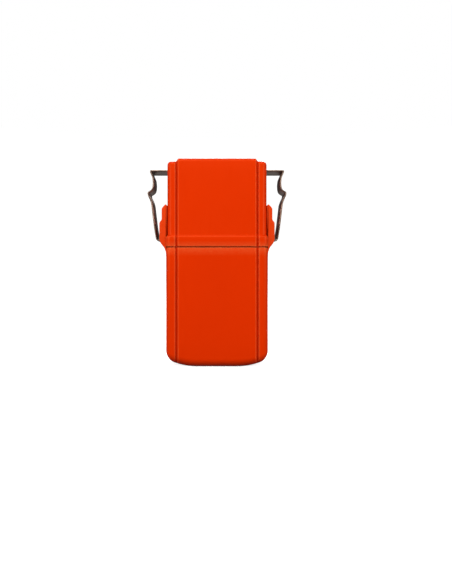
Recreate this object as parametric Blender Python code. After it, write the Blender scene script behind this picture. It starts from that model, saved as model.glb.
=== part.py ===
"""An avalanche transceiver: a two-part moulded case, closed by two steel side latches.

The case stands upright. +Z runs up its length, X across it, and -Y points out of its plain
front. The controls are on the back. The origin is the middle of the flat base.
Everything is in metres. The pieces are built from the outside in: case, cap, latches, control
plate and its pieces, circuit board, and the cells in their carrier.
"""

import math

import bmesh
import bpy
from mathutils import Matrix

# Clearances
GAP = 0.0003
RUNNING_GAP = 0.0002

# Case body: the lower moulding
BODY_HEIGHT = 0.0732
BODY_HALF_WIDTH = 0.0313
BODY_HALF_DEPTH = 0.0132
WALL = 0.0022
CORNER_RADIUS = 0.0034
BASE_FILLET = 0.0055
BASE_FLAT_HALF = 0.012
BASE_BOW_RADIUS = 0.044

# Raised centre panel and the groove at each side of it
PANEL_HALF_WIDTH = 0.0241
PANEL_PROUD = 0.0008
GROOVE_WIDTH = 0.0015
GROOVE_DEPTH = 0.0006

# Cap: the upper moulding
CAP_HEIGHT = 0.054
CAP_STEP_X = 0.0008
CAP_STEP_Y = 0.0004
CAP_WALL = 0.0024
CAP_FILLET = 0.0022
SHOULDER_DROP = 0.0019
SEAM_GAP = 0.0008
BAND_HEIGHT = 0.0074
BAND_PROUD_X = 0.001
BAND_PROUD_Y = 0.0007

# Collar of the body, which the cap slides over, and the seal round its foot
COLLAR_HEIGHT = 0.0088
COLLAR_WALL = 0.0016
COLLAR_RADIUS = 0.0014
SEAL_THICKNESS = 0.0004
SEAL_INSET = 0.0006

# Ears of the body, which carry the latches
EAR_GAP = 0.0006
EAR_CHEEK = 0.002
EAR_TOP = 0.0268
EAR_OUT_LOW = 0.0041
EAR_OUT_HIGH = 0.0027
EAR_STEP_RISE = 0.0168
EAR_WEB = 0.0012

# Side latches
LATCH_WIDTH = 0.0175
LATCH_THICKNESS = 0.0009
PIVOT_OUT = 0.0037
PIVOT_RISE = 0.0058
PIN_RADIUS = 0.0009
TONGUE_RISE = 0.04175
TONGUE_ENGAGED = 0.001
SLOT_DEPTH = 0.0013
SLOT_BELOW = 0.0008

# Control plate in the back window
PLATE_HALF_WIDTH = 0.0232
PLATE_BOTTOM = 0.0068
PLATE_TOP_MARGIN = 0.0052
PLATE_THICKNESS = 0.0018
PLATE_CORNER = 0.003
PLATE_RECESS = 0.001
PLATE_LAND = 0.0018
CORNER_LAND_X = 0.0055
CORNER_LAND_Z = 0.006
PLATE_SCREW_INSET = 0.003
SCREW_HEAD_RADIUS = 0.0019
SCREW_SHANK_RADIUS = 0.001
SCREW_LENGTH = 0.0055
BOSS_RADIUS = 0.0025
BOSS_LENGTH = 0.0045

# Controls
KNOB_RISE = 0.0165
KNOB_RADIUS = 0.0112
KNOB_HEIGHT = 0.0082
KNOB_FLUTES = 14
KNOB_FLUTE_DEPTH = 0.0007
KNOB_RIM = 0.0036
KNOB_DISC_SEAT = 0.0008
KNOB_GRIP_DEPTH = 0.0035
SHAFT_RADIUS = 0.002
BUSHING_RADIUS = 0.0034
NUT_HEIGHT = 0.0018
SWITCH_HALF = 0.0078
SWITCH_DEPTH = 0.006
SPEAKER_RADIUS = 0.0125
SPEAKER_DROP = 0.0168
SPEAKER_DEPTH = 0.0058
BASKET_WALL = 0.0006
MAGNET_RADIUS = 0.0062
MAGNET_DEPTH = 0.0026
CLOTH_THICKNESS = 0.0004
GRILLE_HOLE_RADIUS = 0.001
GRILLE_PITCH = 0.0038
SIDE_CONTROL_X = 0.0165
LAMP_DROP = 0.0312
LAMP_RADIUS = 0.0025
LAMP_HEIGHT = 0.004
BUTTON_RADIUS = 0.0035
BUTTON_TRAVEL = 0.0012
BUTTON_PROUD = 0.002
BUTTON_FLANGE = 0.0008
TEST_SWITCH_DEPTH = 0.0034
SOCKET_RISE = 0.012
SOCKET_RADIUS = 0.0035
SOCKET_BORE = 0.00185

# Circuit board, on four posts of the control plate
BOARD_HALF_WIDTH = 0.0208
BOARD_THICKNESS = 0.0016
BOARD_Y = -0.0019
BOARD_BOTTOM = 0.0088
POST_RADIUS = 0.0022
POST_X = 0.0183
BOARD_SCREW_RADIUS = 0.0011

# Ferrite rod aerial, on the front side of the board
ROD_RADIUS = 0.003
ROD_LENGTH = 0.046
WINDING_RADIUS = 0.0037
WINDING_LENGTH = 0.018
ROD_X = 0.009
CLIP_SIZE = (0.0084, 0.0068, 0.003)

# Cells and their carrier
CELL_RADIUS = 0.00715
CELL_LENGTH = 0.0504
CELL_NUB_RADIUS = 0.0027
CELL_NUB_HEIGHT = 0.0013
CELL_SPACING = 0.0088
WELL_WALL = 0.001
WELL_FLOOR = 0.0016
DECK_THICKNESS = 0.0016
SPRING_HEIGHT = 0.0042
SPRING_WIRE = 0.00035
SPRING_TURNS = 3.5
CONTACT_THICKNESS = 0.0004
CARRIER_WEB_HEIGHT = 0.026
DECK_BOSS_HEIGHT = 0.008

# Heights and sizes that follow
CAP_FOOT = BODY_HEIGHT + SEAM_GAP
CASE_HEIGHT = CAP_FOOT + CAP_HEIGHT
CAP_HALF_WIDTH = BODY_HALF_WIDTH - CAP_STEP_X
CAP_HALF_DEPTH = BODY_HALF_DEPTH - CAP_STEP_Y
BODY_FACE = BODY_HALF_DEPTH + PANEL_PROUD
CAP_CEILING = CASE_HEIGHT - SHOULDER_DROP - CAP_WALL
COLLAR_HALF_WIDTH = CAP_HALF_WIDTH - CAP_WALL - GAP
COLLAR_HALF_DEPTH = CAP_HALF_DEPTH - CAP_WALL - GAP
COLLAR_TOP = BODY_HEIGHT + COLLAR_HEIGHT
BORE_HALF_WIDTH = COLLAR_HALF_WIDTH - COLLAR_WALL
BORE_HALF_DEPTH = COLLAR_HALF_DEPTH - COLLAR_WALL
PIVOT_X = BODY_HALF_WIDTH + PIVOT_OUT
PIVOT_Z = BODY_HEIGHT + PIVOT_RISE
TONGUE_Z = PIVOT_Z + TONGUE_RISE
EAR_INNER = CAP_HALF_WIDTH + EAR_GAP
EAR_HALF_DEPTH = LATCH_WIDTH / 2 + GAP + EAR_CHEEK
PLATE_TOP = BODY_HEIGHT - PLATE_TOP_MARGIN
PLATE_INNER = BODY_FACE - PLATE_RECESS + GAP
PLATE_OUTER = PLATE_INNER + PLATE_THICKNESS
KNOB_Z = PLATE_BOTTOM + KNOB_RISE
SPEAKER_Z = PLATE_TOP - SPEAKER_DROP
LAMP_Z = PLATE_TOP - LAMP_DROP
SOCKET_Z = PLATE_BOTTOM + SOCKET_RISE
NUT_FOOT = PLATE_OUTER + GAP
POST_HEIGHTS = (PLATE_TOP - 0.0212, PLATE_BOTTOM + 0.0222)
BOARD_BACK = BOARD_Y + BOARD_THICKNESS / 2
BOARD_FRONT = BOARD_Y - BOARD_THICKNESS / 2
SHAFT_FOOT = BOARD_BACK + 0.0016
DECK_BOTTOM = COLLAR_TOP + GAP
DECK_TOP = DECK_BOTTOM + DECK_THICKNESS
CELL_TOP = DECK_TOP + 0.0368
CELL_FOOT = CELL_TOP - CELL_LENGTH
CARRIER_FOOT = CELL_FOOT - SPRING_HEIGHT - CONTACT_THICKNESS - WELL_FLOOR - 3 * GAP
BOARD_TOP = CARRIER_FOOT - 0.0015
WELL_RADIUS = CELL_RADIUS + GAP

UPRIGHT = (math.pi / 2, 0, 0)
TO_BACK = (-math.pi / 2, 0, 0)
TO_FRONT = (math.pi / 2, 0, 0)


def finish(name, colour, roughness, metallic=0.0):
    """A Principled material; colour is linear RGB."""
    material = bpy.data.materials.new(name)
    material.use_nodes = True
    shader = material.node_tree.nodes["Principled BSDF"]
    shader.inputs["Base Color"].default_value = (*colour, 1.0)
    shader.inputs["Roughness"].default_value = roughness
    shader.inputs["Metallic"].default_value = metallic
    return material


def clear_scene():
    for item in list(bpy.data.objects):
        bpy.data.objects.remove(item)


def add(name, mesh, material, place=(0, 0, 0), rotation=(0, 0, 0)):
    bpy.context.scene.collection.objects.link(item := bpy.data.objects.new(name, mesh))
    item.location = place
    item.rotation_euler = rotation
    if material:
        mesh.materials.append(material)
    return item


def to_mesh(name, bm):
    bmesh.ops.remove_doubles(bm, verts=bm.verts, dist=1e-7)
    bmesh.ops.recalc_face_normals(bm, faces=bm.faces)
    mesh = bpy.data.meshes.new(name)
    bm.to_mesh(mesh)
    bm.free()
    mesh.shade_smooth()
    mesh.set_sharp_from_angle(angle=math.radians(35))
    return mesh


def block(name, size, material, place):
    """A rectangular block centred on its place."""
    bm = bmesh.new()
    bmesh.ops.create_cube(bm, size=1.0)
    bmesh.ops.scale(bm, vec=size, verts=bm.verts)
    return add(name, to_mesh(name, bm), material, place)


def slab(name, outline, depth, material, place=(0, 0, 0), rotation=UPRIGHT):
    """A flat outline extruded, half its depth to each side of its own plane."""
    bm = bmesh.new()
    face = bm.faces.new([bm.verts.new((x, y, -depth / 2)) for x, y in outline])
    made = bmesh.ops.extrude_face_region(bm, geom=[face])
    rising = [v for v in made["geom"] if isinstance(v, bmesh.types.BMVert)]
    bmesh.ops.translate(bm, vec=(0, 0, depth), verts=rising)
    return add(name, to_mesh(name, bm), material, place, rotation)


def turned(name, profile, material, place=(0, 0, 0), rotation=(0, 0, 0), steps=28, ring=False):
    """A profile of (radius, height) points spun round its own Z axis. A ring's profile closes."""
    bm = bmesh.new()
    points = [bm.verts.new((radius, 0, height)) for radius, height in profile]
    ends = points[1:] + points[:1] if ring else points[1:]
    edges = [bm.edges.new(pair) for pair in zip(points, ends)]
    bmesh.ops.spin(
        bm, geom=points + edges, cent=(0, 0, 0), axis=(0, 0, 1), angle=math.tau, steps=steps
    )
    return add(name, to_mesh(name, bm), material, place, rotation)


def rod(name, radius, length, material, place, rotation=(0, 0, 0), steps=24):
    """A plain cylinder that starts at its place."""
    profile = [(0, 0), (radius, 0), (radius, length), (0, length)]
    return turned(name, profile, material, place, rotation, steps)


def tube(name, inner, outer, length, material, place, rotation=(0, 0, 0), steps=24):
    profile = [(inner, 0), (outer, 0), (outer, length), (inner, length)]
    return turned(name, profile, material, place, rotation, steps, ring=True)


def boolean(target, other, operation):
    other.hide_render = True
    other.display_type = "WIRE"
    modifier = target.modifiers.new(operation.lower(), "BOOLEAN")
    modifier.operation = operation
    modifier.solver = "EXACT"
    modifier.object = other


def cut(target, *cutters):
    for cutter in cutters:
        boolean(target, cutter, "DIFFERENCE")


def join(target, *others):
    for other in others:
        boolean(target, other, "UNION")


def arc(centre, radius, start, end, steps):
    """Points along an arc, with its angles in degrees."""
    angles = [math.radians(start + (end - start) * i / steps) for i in range(steps + 1)]
    return [(centre[0] + radius * math.cos(a), centre[1] + radius * math.sin(a)) for a in angles]


def all_quarters(quarter):
    """The closed loop of a quarter outline that runs from the +X axis side to the +Y one."""
    left = [(-x, y) for x, y in reversed(quarter)]
    half = quarter + left
    return half + [(-x, -y) for x, y in half]


def rounded_rectangle(half_x, half_y, radius, steps=4):
    return all_quarters(arc((half_x - radius, half_y - radius), radius, 0, 90, steps))


def case_outline(half_width, half_depth, radius, relief=1.0):
    """The case's section: rounded corners, a groove, and a panel that stands proud. Relief fades
    the panel and the groove out towards the base and the top."""
    corner = arc((half_width - radius, half_depth - radius), radius, 0, 90, 6)
    edge = min(PANEL_HALF_WIDTH, half_width - radius - 1.1 * GROOVE_WIDTH)
    proud = half_depth + PANEL_PROUD * relief
    floor = half_depth - GROOVE_DEPTH * relief
    groove = [
        (edge + GROOVE_WIDTH, half_depth),
        (edge + GROOVE_WIDTH * 0.7, floor),
        (edge + GROOVE_WIDTH * 0.25, floor),
        (edge, proud - PANEL_PROUD * relief / 3),
        (edge - GROOVE_WIDTH / 3, proud),
        (edge - 2 * GROOVE_WIDTH, proud),
    ]
    span = edge - 2 * GROOVE_WIDTH - BASE_FLAT_HALF
    panel = [(BASE_FLAT_HALF + span * share, proud) for share in (0.67, 0.33, 0)]
    return all_quarters(corner + groove + panel)


def loft(name, rings, material=None):
    """A closed solid through rings of equal count, each symmetric about the X axis. The ends are
    closed by strips from each point to its mirror point."""
    bm = bmesh.new()
    loops = [[bm.verts.new(point) for point in ring] for ring in rings]
    count = len(loops[0])
    for low, high in zip(loops, loops[1:]):
        for i in range(count):
            j = (i + 1) % count
            bm.faces.new((low[i], low[j], high[j], high[i]))
    for loop in (loops[0], loops[-1]):
        for i in range(count // 2 - 1):
            bm.faces.new((loop[i], loop[i + 1], loop[-2 - i], loop[-1 - i]))
    return add(name, to_mesh(name, bm), material)


def base_bow(x):
    """Height of the bowed base at x: flat in the middle, then an arc that rises to the sides."""
    out = max(0.0, abs(x) - BASE_FLAT_HALF)
    return BASE_BOW_RADIUS - math.sqrt(BASE_BOW_RADIUS**2 - out**2)


def top_step(x):
    """How far the top lies below the case's full height at x: the shoulders sit lower."""
    rise = (abs(x) - PANEL_HALF_WIDTH + GROOVE_WIDTH) / (2 * GROOVE_WIDTH)
    return SHOULDER_DROP * min(1.0, max(0.0, rise))


def fillet_steps(radius, steps):
    """(inset, height) pairs from the flat end of a fillet to its wall."""
    angles = [math.pi / 2 * i / steps for i in range(steps + 1)]
    return [(radius * (1 - math.sin(a)), radius * (1 - math.cos(a))) for a in angles]


def body_rings():
    """Rings of the body's outside, from the base up."""
    rings = []
    for inset, height in fillet_steps(BASE_FILLET, 6):
        outline = case_outline(
            BODY_HALF_WIDTH - inset,
            BODY_HALF_DEPTH - inset,
            max(CORNER_RADIUS - inset, 0.0006),
            1 - inset / BASE_FILLET,
        )
        rings.append([(x, y, base_bow(x) + height) for x, y in outline])
    outline = case_outline(BODY_HALF_WIDTH, BODY_HALF_DEPTH, CORNER_RADIUS)
    rings.append([(x, y, BODY_HEIGHT) for x, y in outline])
    return rings


def body_cavity_rings():
    """Rings of the space inside the body: wide below, then the narrower bore of the collar."""
    rings = []
    inner_x, inner_y = BODY_HALF_WIDTH - WALL, BODY_HALF_DEPTH - WALL
    inner_fillet = BASE_FILLET - WALL
    for inset, height in fillet_steps(inner_fillet, 3):
        outline = rounded_rectangle(inner_x - inset, inner_y - inset, max(0.0015 - inset, 0.0004))
        rings.append([(x, y, base_bow(x) + WALL + height) for x, y in outline])
    wide = rounded_rectangle(inner_x, inner_y, 0.0015)
    narrow = rounded_rectangle(BORE_HALF_WIDTH, BORE_HALF_DEPTH, 0.0012)
    rings.append([(x, y, BODY_HEIGHT - 2 * WALL) for x, y in wide])
    rings.append([(x, y, BODY_HEIGHT - WALL) for x, y in narrow])
    rings.append([(x, y, COLLAR_TOP + WALL) for x, y in narrow])
    return rings


def cap_rings():
    """Rings of the cap's outside, from its foot band up to the stepped top."""
    rings = []
    for share, height in ((1, 0), (1, BAND_HEIGHT - 0.0016), (0, BAND_HEIGHT)):
        outline = case_outline(
            CAP_HALF_WIDTH + BAND_PROUD_X * share,
            CAP_HALF_DEPTH + BAND_PROUD_Y * share,
            CORNER_RADIUS,
        )
        rings.append([(x, y, CAP_FOOT + height) for x, y in outline])
    for inset, drop in reversed(fillet_steps(CAP_FILLET, 5)):
        outline = case_outline(
            CAP_HALF_WIDTH - inset,
            CAP_HALF_DEPTH - inset,
            CORNER_RADIUS - inset,
            1 - inset / CAP_FILLET,
        )
        rings.append([(x, y, CASE_HEIGHT - top_step(x) - drop) for x, y in outline])
    return rings


def cap_cavity_rings():
    inner_x, inner_y = CAP_HALF_WIDTH - CAP_WALL, CAP_HALF_DEPTH - CAP_WALL
    rings = []
    outline = rounded_rectangle(inner_x, inner_y, 0.0012)
    rings.append([(x, y, CAP_FOOT - WALL) for x, y in outline])
    for inset, drop in reversed(fillet_steps(0.0015, 3)):
        outline = rounded_rectangle(inner_x - inset, inner_y - inset, max(0.0012 - inset, 0.0004))
        rings.append([(x, y, CAP_CEILING - drop) for x, y in outline])
    return rings


def mirrored(outline, side):
    """An outline for the right side (+1), or its mirror image for the left (-1)."""
    return [(side * x, z) for x, z in outline]


def ear_outline():
    """The right ear in X and Z: it flares out of the body's side, carries the latch pin in its
    wider lower part, and ends in a narrower head beside the cap."""
    low_out, high_out = BODY_HALF_WIDTH + EAR_OUT_LOW, BODY_HALF_WIDTH + EAR_OUT_HIGH
    step, top = BODY_HEIGHT + EAR_STEP_RISE, BODY_HEIGHT + EAR_TOP
    root = BODY_HALF_WIDTH - WALL / 2
    flare = [
        (BODY_HALF_WIDTH, BODY_HEIGHT - 0.004),
        (BODY_HALF_WIDTH + 0.0003, BODY_HEIGHT - 0.002),
        (BODY_HALF_WIDTH + 0.0011, BODY_HEIGHT),
        (BODY_HALF_WIDTH + 0.0023, BODY_HEIGHT + 0.0017),
        (low_out - 0.0006, BODY_HEIGHT + 0.0033),
    ]
    head = [
        (low_out, BODY_HEIGHT + 0.0048),
        (low_out, step - 0.0014),
        (high_out, step),
        (high_out, top - 0.0028),
        (high_out - 0.0008, top - 0.0016),
        (EAR_INNER + 0.0006, top),
        (EAR_INNER, top - 0.0004),
        (EAR_INNER, BODY_HEIGHT - GAP),
    ]
    return [(root, BODY_HEIGHT - 0.007)] + flare + head + [(root, BODY_HEIGHT - 0.0009)]


def ear_pocket_outline():
    """The space between an ear's cheeks, where the latch's knuckle turns."""
    inner = EAR_INNER + EAR_WEB
    out = BODY_HALF_WIDTH + 2 * EAR_OUT_LOW
    foot, head = PIVOT_Z - 0.0036, BODY_HEIGHT + EAR_STEP_RISE - 0.0012
    below = [(inner, foot + 0.0008), (inner + 0.0008, foot), (out, foot - 0.006)]
    return below + [(out, head), (inner, head)]


def latch_centreline():
    """The right latch's line in X and Z from its pin: knuckle, arm, finger fold and tongue."""
    radius = PIN_RADIUS + RUNNING_GAP / 2 + LATCH_THICKNESS / 2
    knuckle = arc((0, 0), radius, 75, 300, 12)
    arm = [
        (0.0015, -0.0013),
        (0.0023, -0.0005),
        (0.00255, 0.0008),
        (0.00355, 0.0069),
        (0.00415, 0.0119),
        (0.00475, 0.0169),
        (0.0053, 0.0217),
        (0.0062, 0.0243),
        (0.00735, 0.0266),
    ]
    fold = arc((0.00665, 0.0278), 0.0009, -20, 80, 4) + [(0.0059, 0.0291)]
    scoop = [(0.00495, 0.0301), (0.00445, 0.0316), (0.00425, 0.0344), (0.00455, 0.0378)]
    tip = CAP_HALF_WIDTH - TONGUE_ENGAGED - PIVOT_X
    corner = 0.0008
    turn = arc((0.0054, TONGUE_RISE - corner), corner, 10, 90, 3)
    return knuckle + arm + fold + scoop + turn + [(tip, TONGUE_RISE)]


def strip_outline(line, thickness):
    """The outline of a strip of even thickness along a line."""
    sides = ([], [])
    for i, (x, z) in enumerate(line):
        before, after = line[max(0, i - 1)], line[min(len(line) - 1, i + 1)]
        along = (after[0] - before[0], after[1] - before[1])
        half = thickness / 2 / math.hypot(*along)
        sides[0].append((x - along[1] * half, z + along[0] * half))
        sides[1].append((x + along[1] * half, z - along[0] * half))
    return sides[0] + sides[1][::-1]


def pivot_empty(name, place):
    empty = bpy.data.objects.new(name, None)
    bpy.context.scene.collection.objects.link(empty)
    empty.location = place
    return empty


def hang(pivot, *pieces):
    """Parents pieces to a pivot and keeps them where they are."""
    for piece in pieces:
        piece.parent = pivot
        piece.matrix_parent_inverse = Matrix.Translation(pivot.location).inverted()


def plate_corners(height_inset, side_inset):
    """(x, z) of the four corners of the control plate, inset by these amounts."""
    heights = (PLATE_BOTTOM + height_inset, PLATE_TOP - height_inset)
    return [(side * (PLATE_HALF_WIDTH - side_inset), z) for z in heights for side in (-1, 1)]


def window_cutters():
    """The back window: a wide and a tall opening that leave a land for a screw in each corner."""
    top, bottom = PLATE_TOP - PLATE_LAND, PLATE_BOTTOM + PLATE_LAND
    half = PLATE_HALF_WIDTH - PLATE_LAND
    middle, tall = (top + bottom) / 2, top - bottom
    depth = 4 * WALL
    wide = (2 * half, depth, tall - 2 * CORNER_LAND_Z)
    high = (2 * (half - CORNER_LAND_X), depth, tall)
    spots = [(0, BODY_HALF_DEPTH, middle)] * 2
    return [block(f"window_{i}", size, None, spots[i]) for i, size in enumerate((wide, high))]


def rounded_panel(half_width, bottom, top, radius, steps=5):
    """A rounded rectangle in X and Z between two heights."""
    middle = (top + bottom) / 2
    outline = rounded_rectangle(half_width, (top - bottom) / 2, radius, steps)
    return [(x, middle + z) for x, z in outline]


def build_body(shell):
    body = loft("case_body", body_rings(), shell)
    collar = slab(
        "collar_blank",
        rounded_rectangle(COLLAR_HALF_WIDTH, COLLAR_HALF_DEPTH, COLLAR_RADIUS),
        COLLAR_HEIGHT + WALL,
        None,
        (0, 0, COLLAR_TOP - (COLLAR_HEIGHT + WALL) / 2),
        (0, 0, 0),
    )
    join(body, collar)
    for side in (-1, 1):
        ear = slab(f"ear_{side}", mirrored(ear_outline(), side), 2 * EAR_HALF_DEPTH, None)
        pocket = slab(
            f"ear_pocket_{side}", mirrored(ear_pocket_outline(), side), LATCH_WIDTH + 2 * GAP, None
        )
        pin_hole = rod(
            f"pin_hole_{side}",
            PIN_RADIUS + RUNNING_GAP,
            2 * EAR_HALF_DEPTH - EAR_CHEEK,
            None,
            (side * PIVOT_X, -EAR_HALF_DEPTH + EAR_CHEEK / 2, PIVOT_Z),
            TO_BACK,
        )
        join(body, ear)
        cut(body, pocket, pin_hole)
    cut(body, loft("body_cavity", body_cavity_rings()))
    edge = rounded_panel(PLATE_HALF_WIDTH + GAP, PLATE_BOTTOM - GAP, PLATE_TOP + GAP, PLATE_CORNER)
    recess = slab("plate_recess", edge, 2 * PLATE_RECESS, None, (0, BODY_FACE, 0))
    cut(body, recess, *window_cutters())
    boss_top = BODY_FACE - PLATE_RECESS
    for i, (x, z) in enumerate(plate_corners(PLATE_SCREW_INSET, PLATE_SCREW_INSET)):
        foot = (x, boss_top - 0.001 - BOSS_LENGTH, z)
        join(body, rod(f"boss_{i}", BOSS_RADIUS, BOSS_LENGTH, None, foot, TO_BACK, 16))
        hole = (x, boss_top - SCREW_LENGTH, z)
        cut(body, rod(f"boss_hole_{i}", SCREW_SHANK_RADIUS + GAP, 0.01, None, hole, TO_BACK, 12))
    return body


def build_cap(shell, foam, steel):
    cap = loft("case_cap", cap_rings(), shell)
    cut(cap, loft("cap_cavity", cap_cavity_rings()))
    slot_height = LATCH_THICKNESS + SLOT_BELOW + GAP
    slot_z = TONGUE_Z + LATCH_THICKNESS / 2 + GAP - slot_height / 2
    for side in (-1, 1):
        wing = (0.004, 2 * (EAR_HALF_DEPTH + GAP), 2 * BAND_HEIGHT + 0.001)
        place = (side * (CAP_HALF_WIDTH + wing[0] / 2), 0, CAP_FOOT)
        slot = (2 * SLOT_DEPTH, LATCH_WIDTH + 4 * GAP, slot_height)
        cut(
            cap,
            block(f"band_notch_{side}", wing, None, place),
            block(f"latch_slot_{side}", slot, None, (side * CAP_HALF_WIDTH, 0, slot_z)),
        )
    bridge_z = CELL_TOP + GAP + CONTACT_THICKNESS / 2
    bridge_size = (2 * (CELL_SPACING + CELL_NUB_RADIUS) + 0.003, 0.008, CONTACT_THICKNESS)
    bridge = block("cell_bridge_contact", bridge_size, steel, (0, 0, bridge_z))
    pad_foot = bridge_z + CONTACT_THICKNESS / 2 + GAP
    pad_height = CAP_CEILING - GAP - pad_foot
    pad_size = (bridge_size[0] + 0.008, 0.0125, pad_height)
    pad = block("cap_pad", pad_size, foam, (0, 0, pad_foot + pad_height / 2))
    return cap, bridge, pad


def build_seal(rubber):
    outer = rounded_rectangle(
        CAP_HALF_WIDTH - SEAL_INSET, CAP_HALF_DEPTH - SEAL_INSET, CORNER_RADIUS - SEAL_INSET
    )
    place = (0, 0, BODY_HEIGHT + SEAM_GAP / 2)
    seal = slab("seam_seal", outer, SEAL_THICKNESS, rubber, place, (0, 0, 0))
    inner = rounded_rectangle(
        COLLAR_HALF_WIDTH + GAP, COLLAR_HALF_DEPTH + GAP, COLLAR_RADIUS + GAP
    )
    cut(seal, slab("seal_opening", inner, 0.01, None, place, (0, 0, 0)))


def build_latch(side, name, steel):
    """One side latch on its pin. The pin stays in the body and the latch turns on it."""
    pivot = pivot_empty(f"{name}_pivot", (side * PIVOT_X, 0, PIVOT_Z))
    outline = strip_outline(mirrored(latch_centreline(), side), LATCH_THICKNESS)
    hang(pivot, slab(f"latch_{name}", outline, LATCH_WIDTH, steel, pivot.location))
    length = 2 * EAR_HALF_DEPTH - EAR_CHEEK - 2 * GAP
    start = (side * PIVOT_X, -length / 2, PIVOT_Z)
    rod(f"hinge_pin_{name}", PIN_RADIUS - RUNNING_GAP / 2, length, steel, start, TO_BACK)


def screw_profile(shank, length, head):
    """A screw's profile from its tip: a plain shank and a low pan head."""
    rim = length + 0.0006
    top = rim + 0.0004
    shank_points = [(0, 0), (shank, 0), (shank, length)]
    return shank_points + [(head, length), (head, rim), (head - 0.0006, top), (0, top)]


def post_spots():
    """(x, z) of the control plate's four posts, which carry the board."""
    return [(side * POST_X, z) for z in POST_HEIGHTS for side in (-1, 1)]


def grille_spots():
    """Hole centres of the loudspeaker grille: one, then rings of six and twelve."""
    spots = [(0.0, SPEAKER_Z)]
    for ring, count in ((1, 6), (2, 12)):
        turns = [math.tau * i / count for i in range(count)]
        radius = ring * GRILLE_PITCH
        spots += [(radius * math.cos(a), SPEAKER_Z + radius * math.sin(a)) for a in turns]
    return spots


def build_control_plate(black, steel):
    outline = rounded_panel(PLATE_HALF_WIDTH, PLATE_BOTTOM, PLATE_TOP, PLATE_CORNER)
    middle = (PLATE_INNER + PLATE_OUTER) / 2
    plate = slab("control_plate", outline, PLATE_THICKNESS, black, (0, middle, 0))
    post_length = PLATE_INNER - BOARD_BACK - GAP + PLATE_THICKNESS / 2
    for i, (x, z) in enumerate(post_spots()):
        foot, hole = (x, BOARD_BACK + GAP, z), (x, BOARD_BACK - 0.001, z)
        join(plate, rod(f"post_{i}", POST_RADIUS, post_length, None, foot, TO_BACK, 16))
        cut(plate, rod(f"post_hole_{i}", BOARD_SCREW_RADIUS, 0.005, None, hole, TO_BACK, 12))
    openings = [
        (0, KNOB_Z, BUSHING_RADIUS + GAP),
        (-SIDE_CONTROL_X, LAMP_Z, LAMP_RADIUS + GAP),
        (SIDE_CONTROL_X, LAMP_Z, BUTTON_RADIUS + GAP),
        (-SIDE_CONTROL_X, SOCKET_Z, SOCKET_RADIUS + GAP),
    ]
    openings += [(x, z, GRILLE_HOLE_RADIUS) for x, z in grille_spots()]
    corners = plate_corners(PLATE_SCREW_INSET, PLATE_SCREW_INSET)
    openings += [(x, z, SCREW_SHANK_RADIUS + GAP) for x, z in corners]
    for i, (x, z, radius) in enumerate(openings):
        start, length = (x, PLATE_INNER - GAP, z), PLATE_THICKNESS + 2 * GAP
        cut(plate, rod(f"plate_hole_{i}", radius, length, None, start, TO_BACK, 16))
    profile = screw_profile(SCREW_SHANK_RADIUS, SCREW_LENGTH, SCREW_HEAD_RADIUS)
    for i, (x, z) in enumerate(corners):
        tip = (x, PLATE_OUTER + GAP - SCREW_LENGTH, z)
        turned(f"plate_screw_{i + 1}", profile, steel, tip, TO_BACK, 16)


def knob_grip():
    """The knob's outline: a circle with a flute at every fourth point."""
    outline = []
    for i in range(KNOB_FLUTES * 4):
        radius = KNOB_RADIUS - (KNOB_FLUTE_DEPTH if i % 4 == 0 else 0.0)
        turn = math.tau * i / (KNOB_FLUTES * 4)
        outline.append((radius * math.cos(turn), radius * math.sin(turn)))
    return outline


def build_switch(black, brass):
    """The rotary switch on the board, with its bushing through the control plate, and its nut."""
    foot = BOARD_BACK + GAP
    size = (2 * SWITCH_HALF, SWITCH_DEPTH, 2 * SWITCH_HALF)
    housing = block("selector_switch", size, black, (0, foot + SWITCH_DEPTH / 2, KNOB_Z))
    bushing_foot = (0, foot + SWITCH_DEPTH / 2, KNOB_Z)
    bushing_length = NUT_FOOT + NUT_HEIGHT - bushing_foot[1]
    join(housing, rod("bushing", BUSHING_RADIUS, bushing_length, None, bushing_foot, TO_BACK))
    bore = (0, SHAFT_FOOT - GAP, KNOB_Z)
    cut(housing, rod("shaft_hole", SHAFT_RADIUS + RUNNING_GAP, 0.03, None, bore, TO_BACK))
    hexagon = arc((0, 0), BUSHING_RADIUS + 0.002, 0, 300, 5)
    nut = slab("bushing_nut", hexagon, NUT_HEIGHT, brass, (0, NUT_FOOT + NUT_HEIGHT / 2, KNOB_Z))
    nut_bore = (0, NUT_FOOT - NUT_HEIGHT, KNOB_Z)
    cut(nut, rod("nut_bore", BUSHING_RADIUS + GAP, 3 * NUT_HEIGHT, None, nut_bore, TO_BACK))


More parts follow.
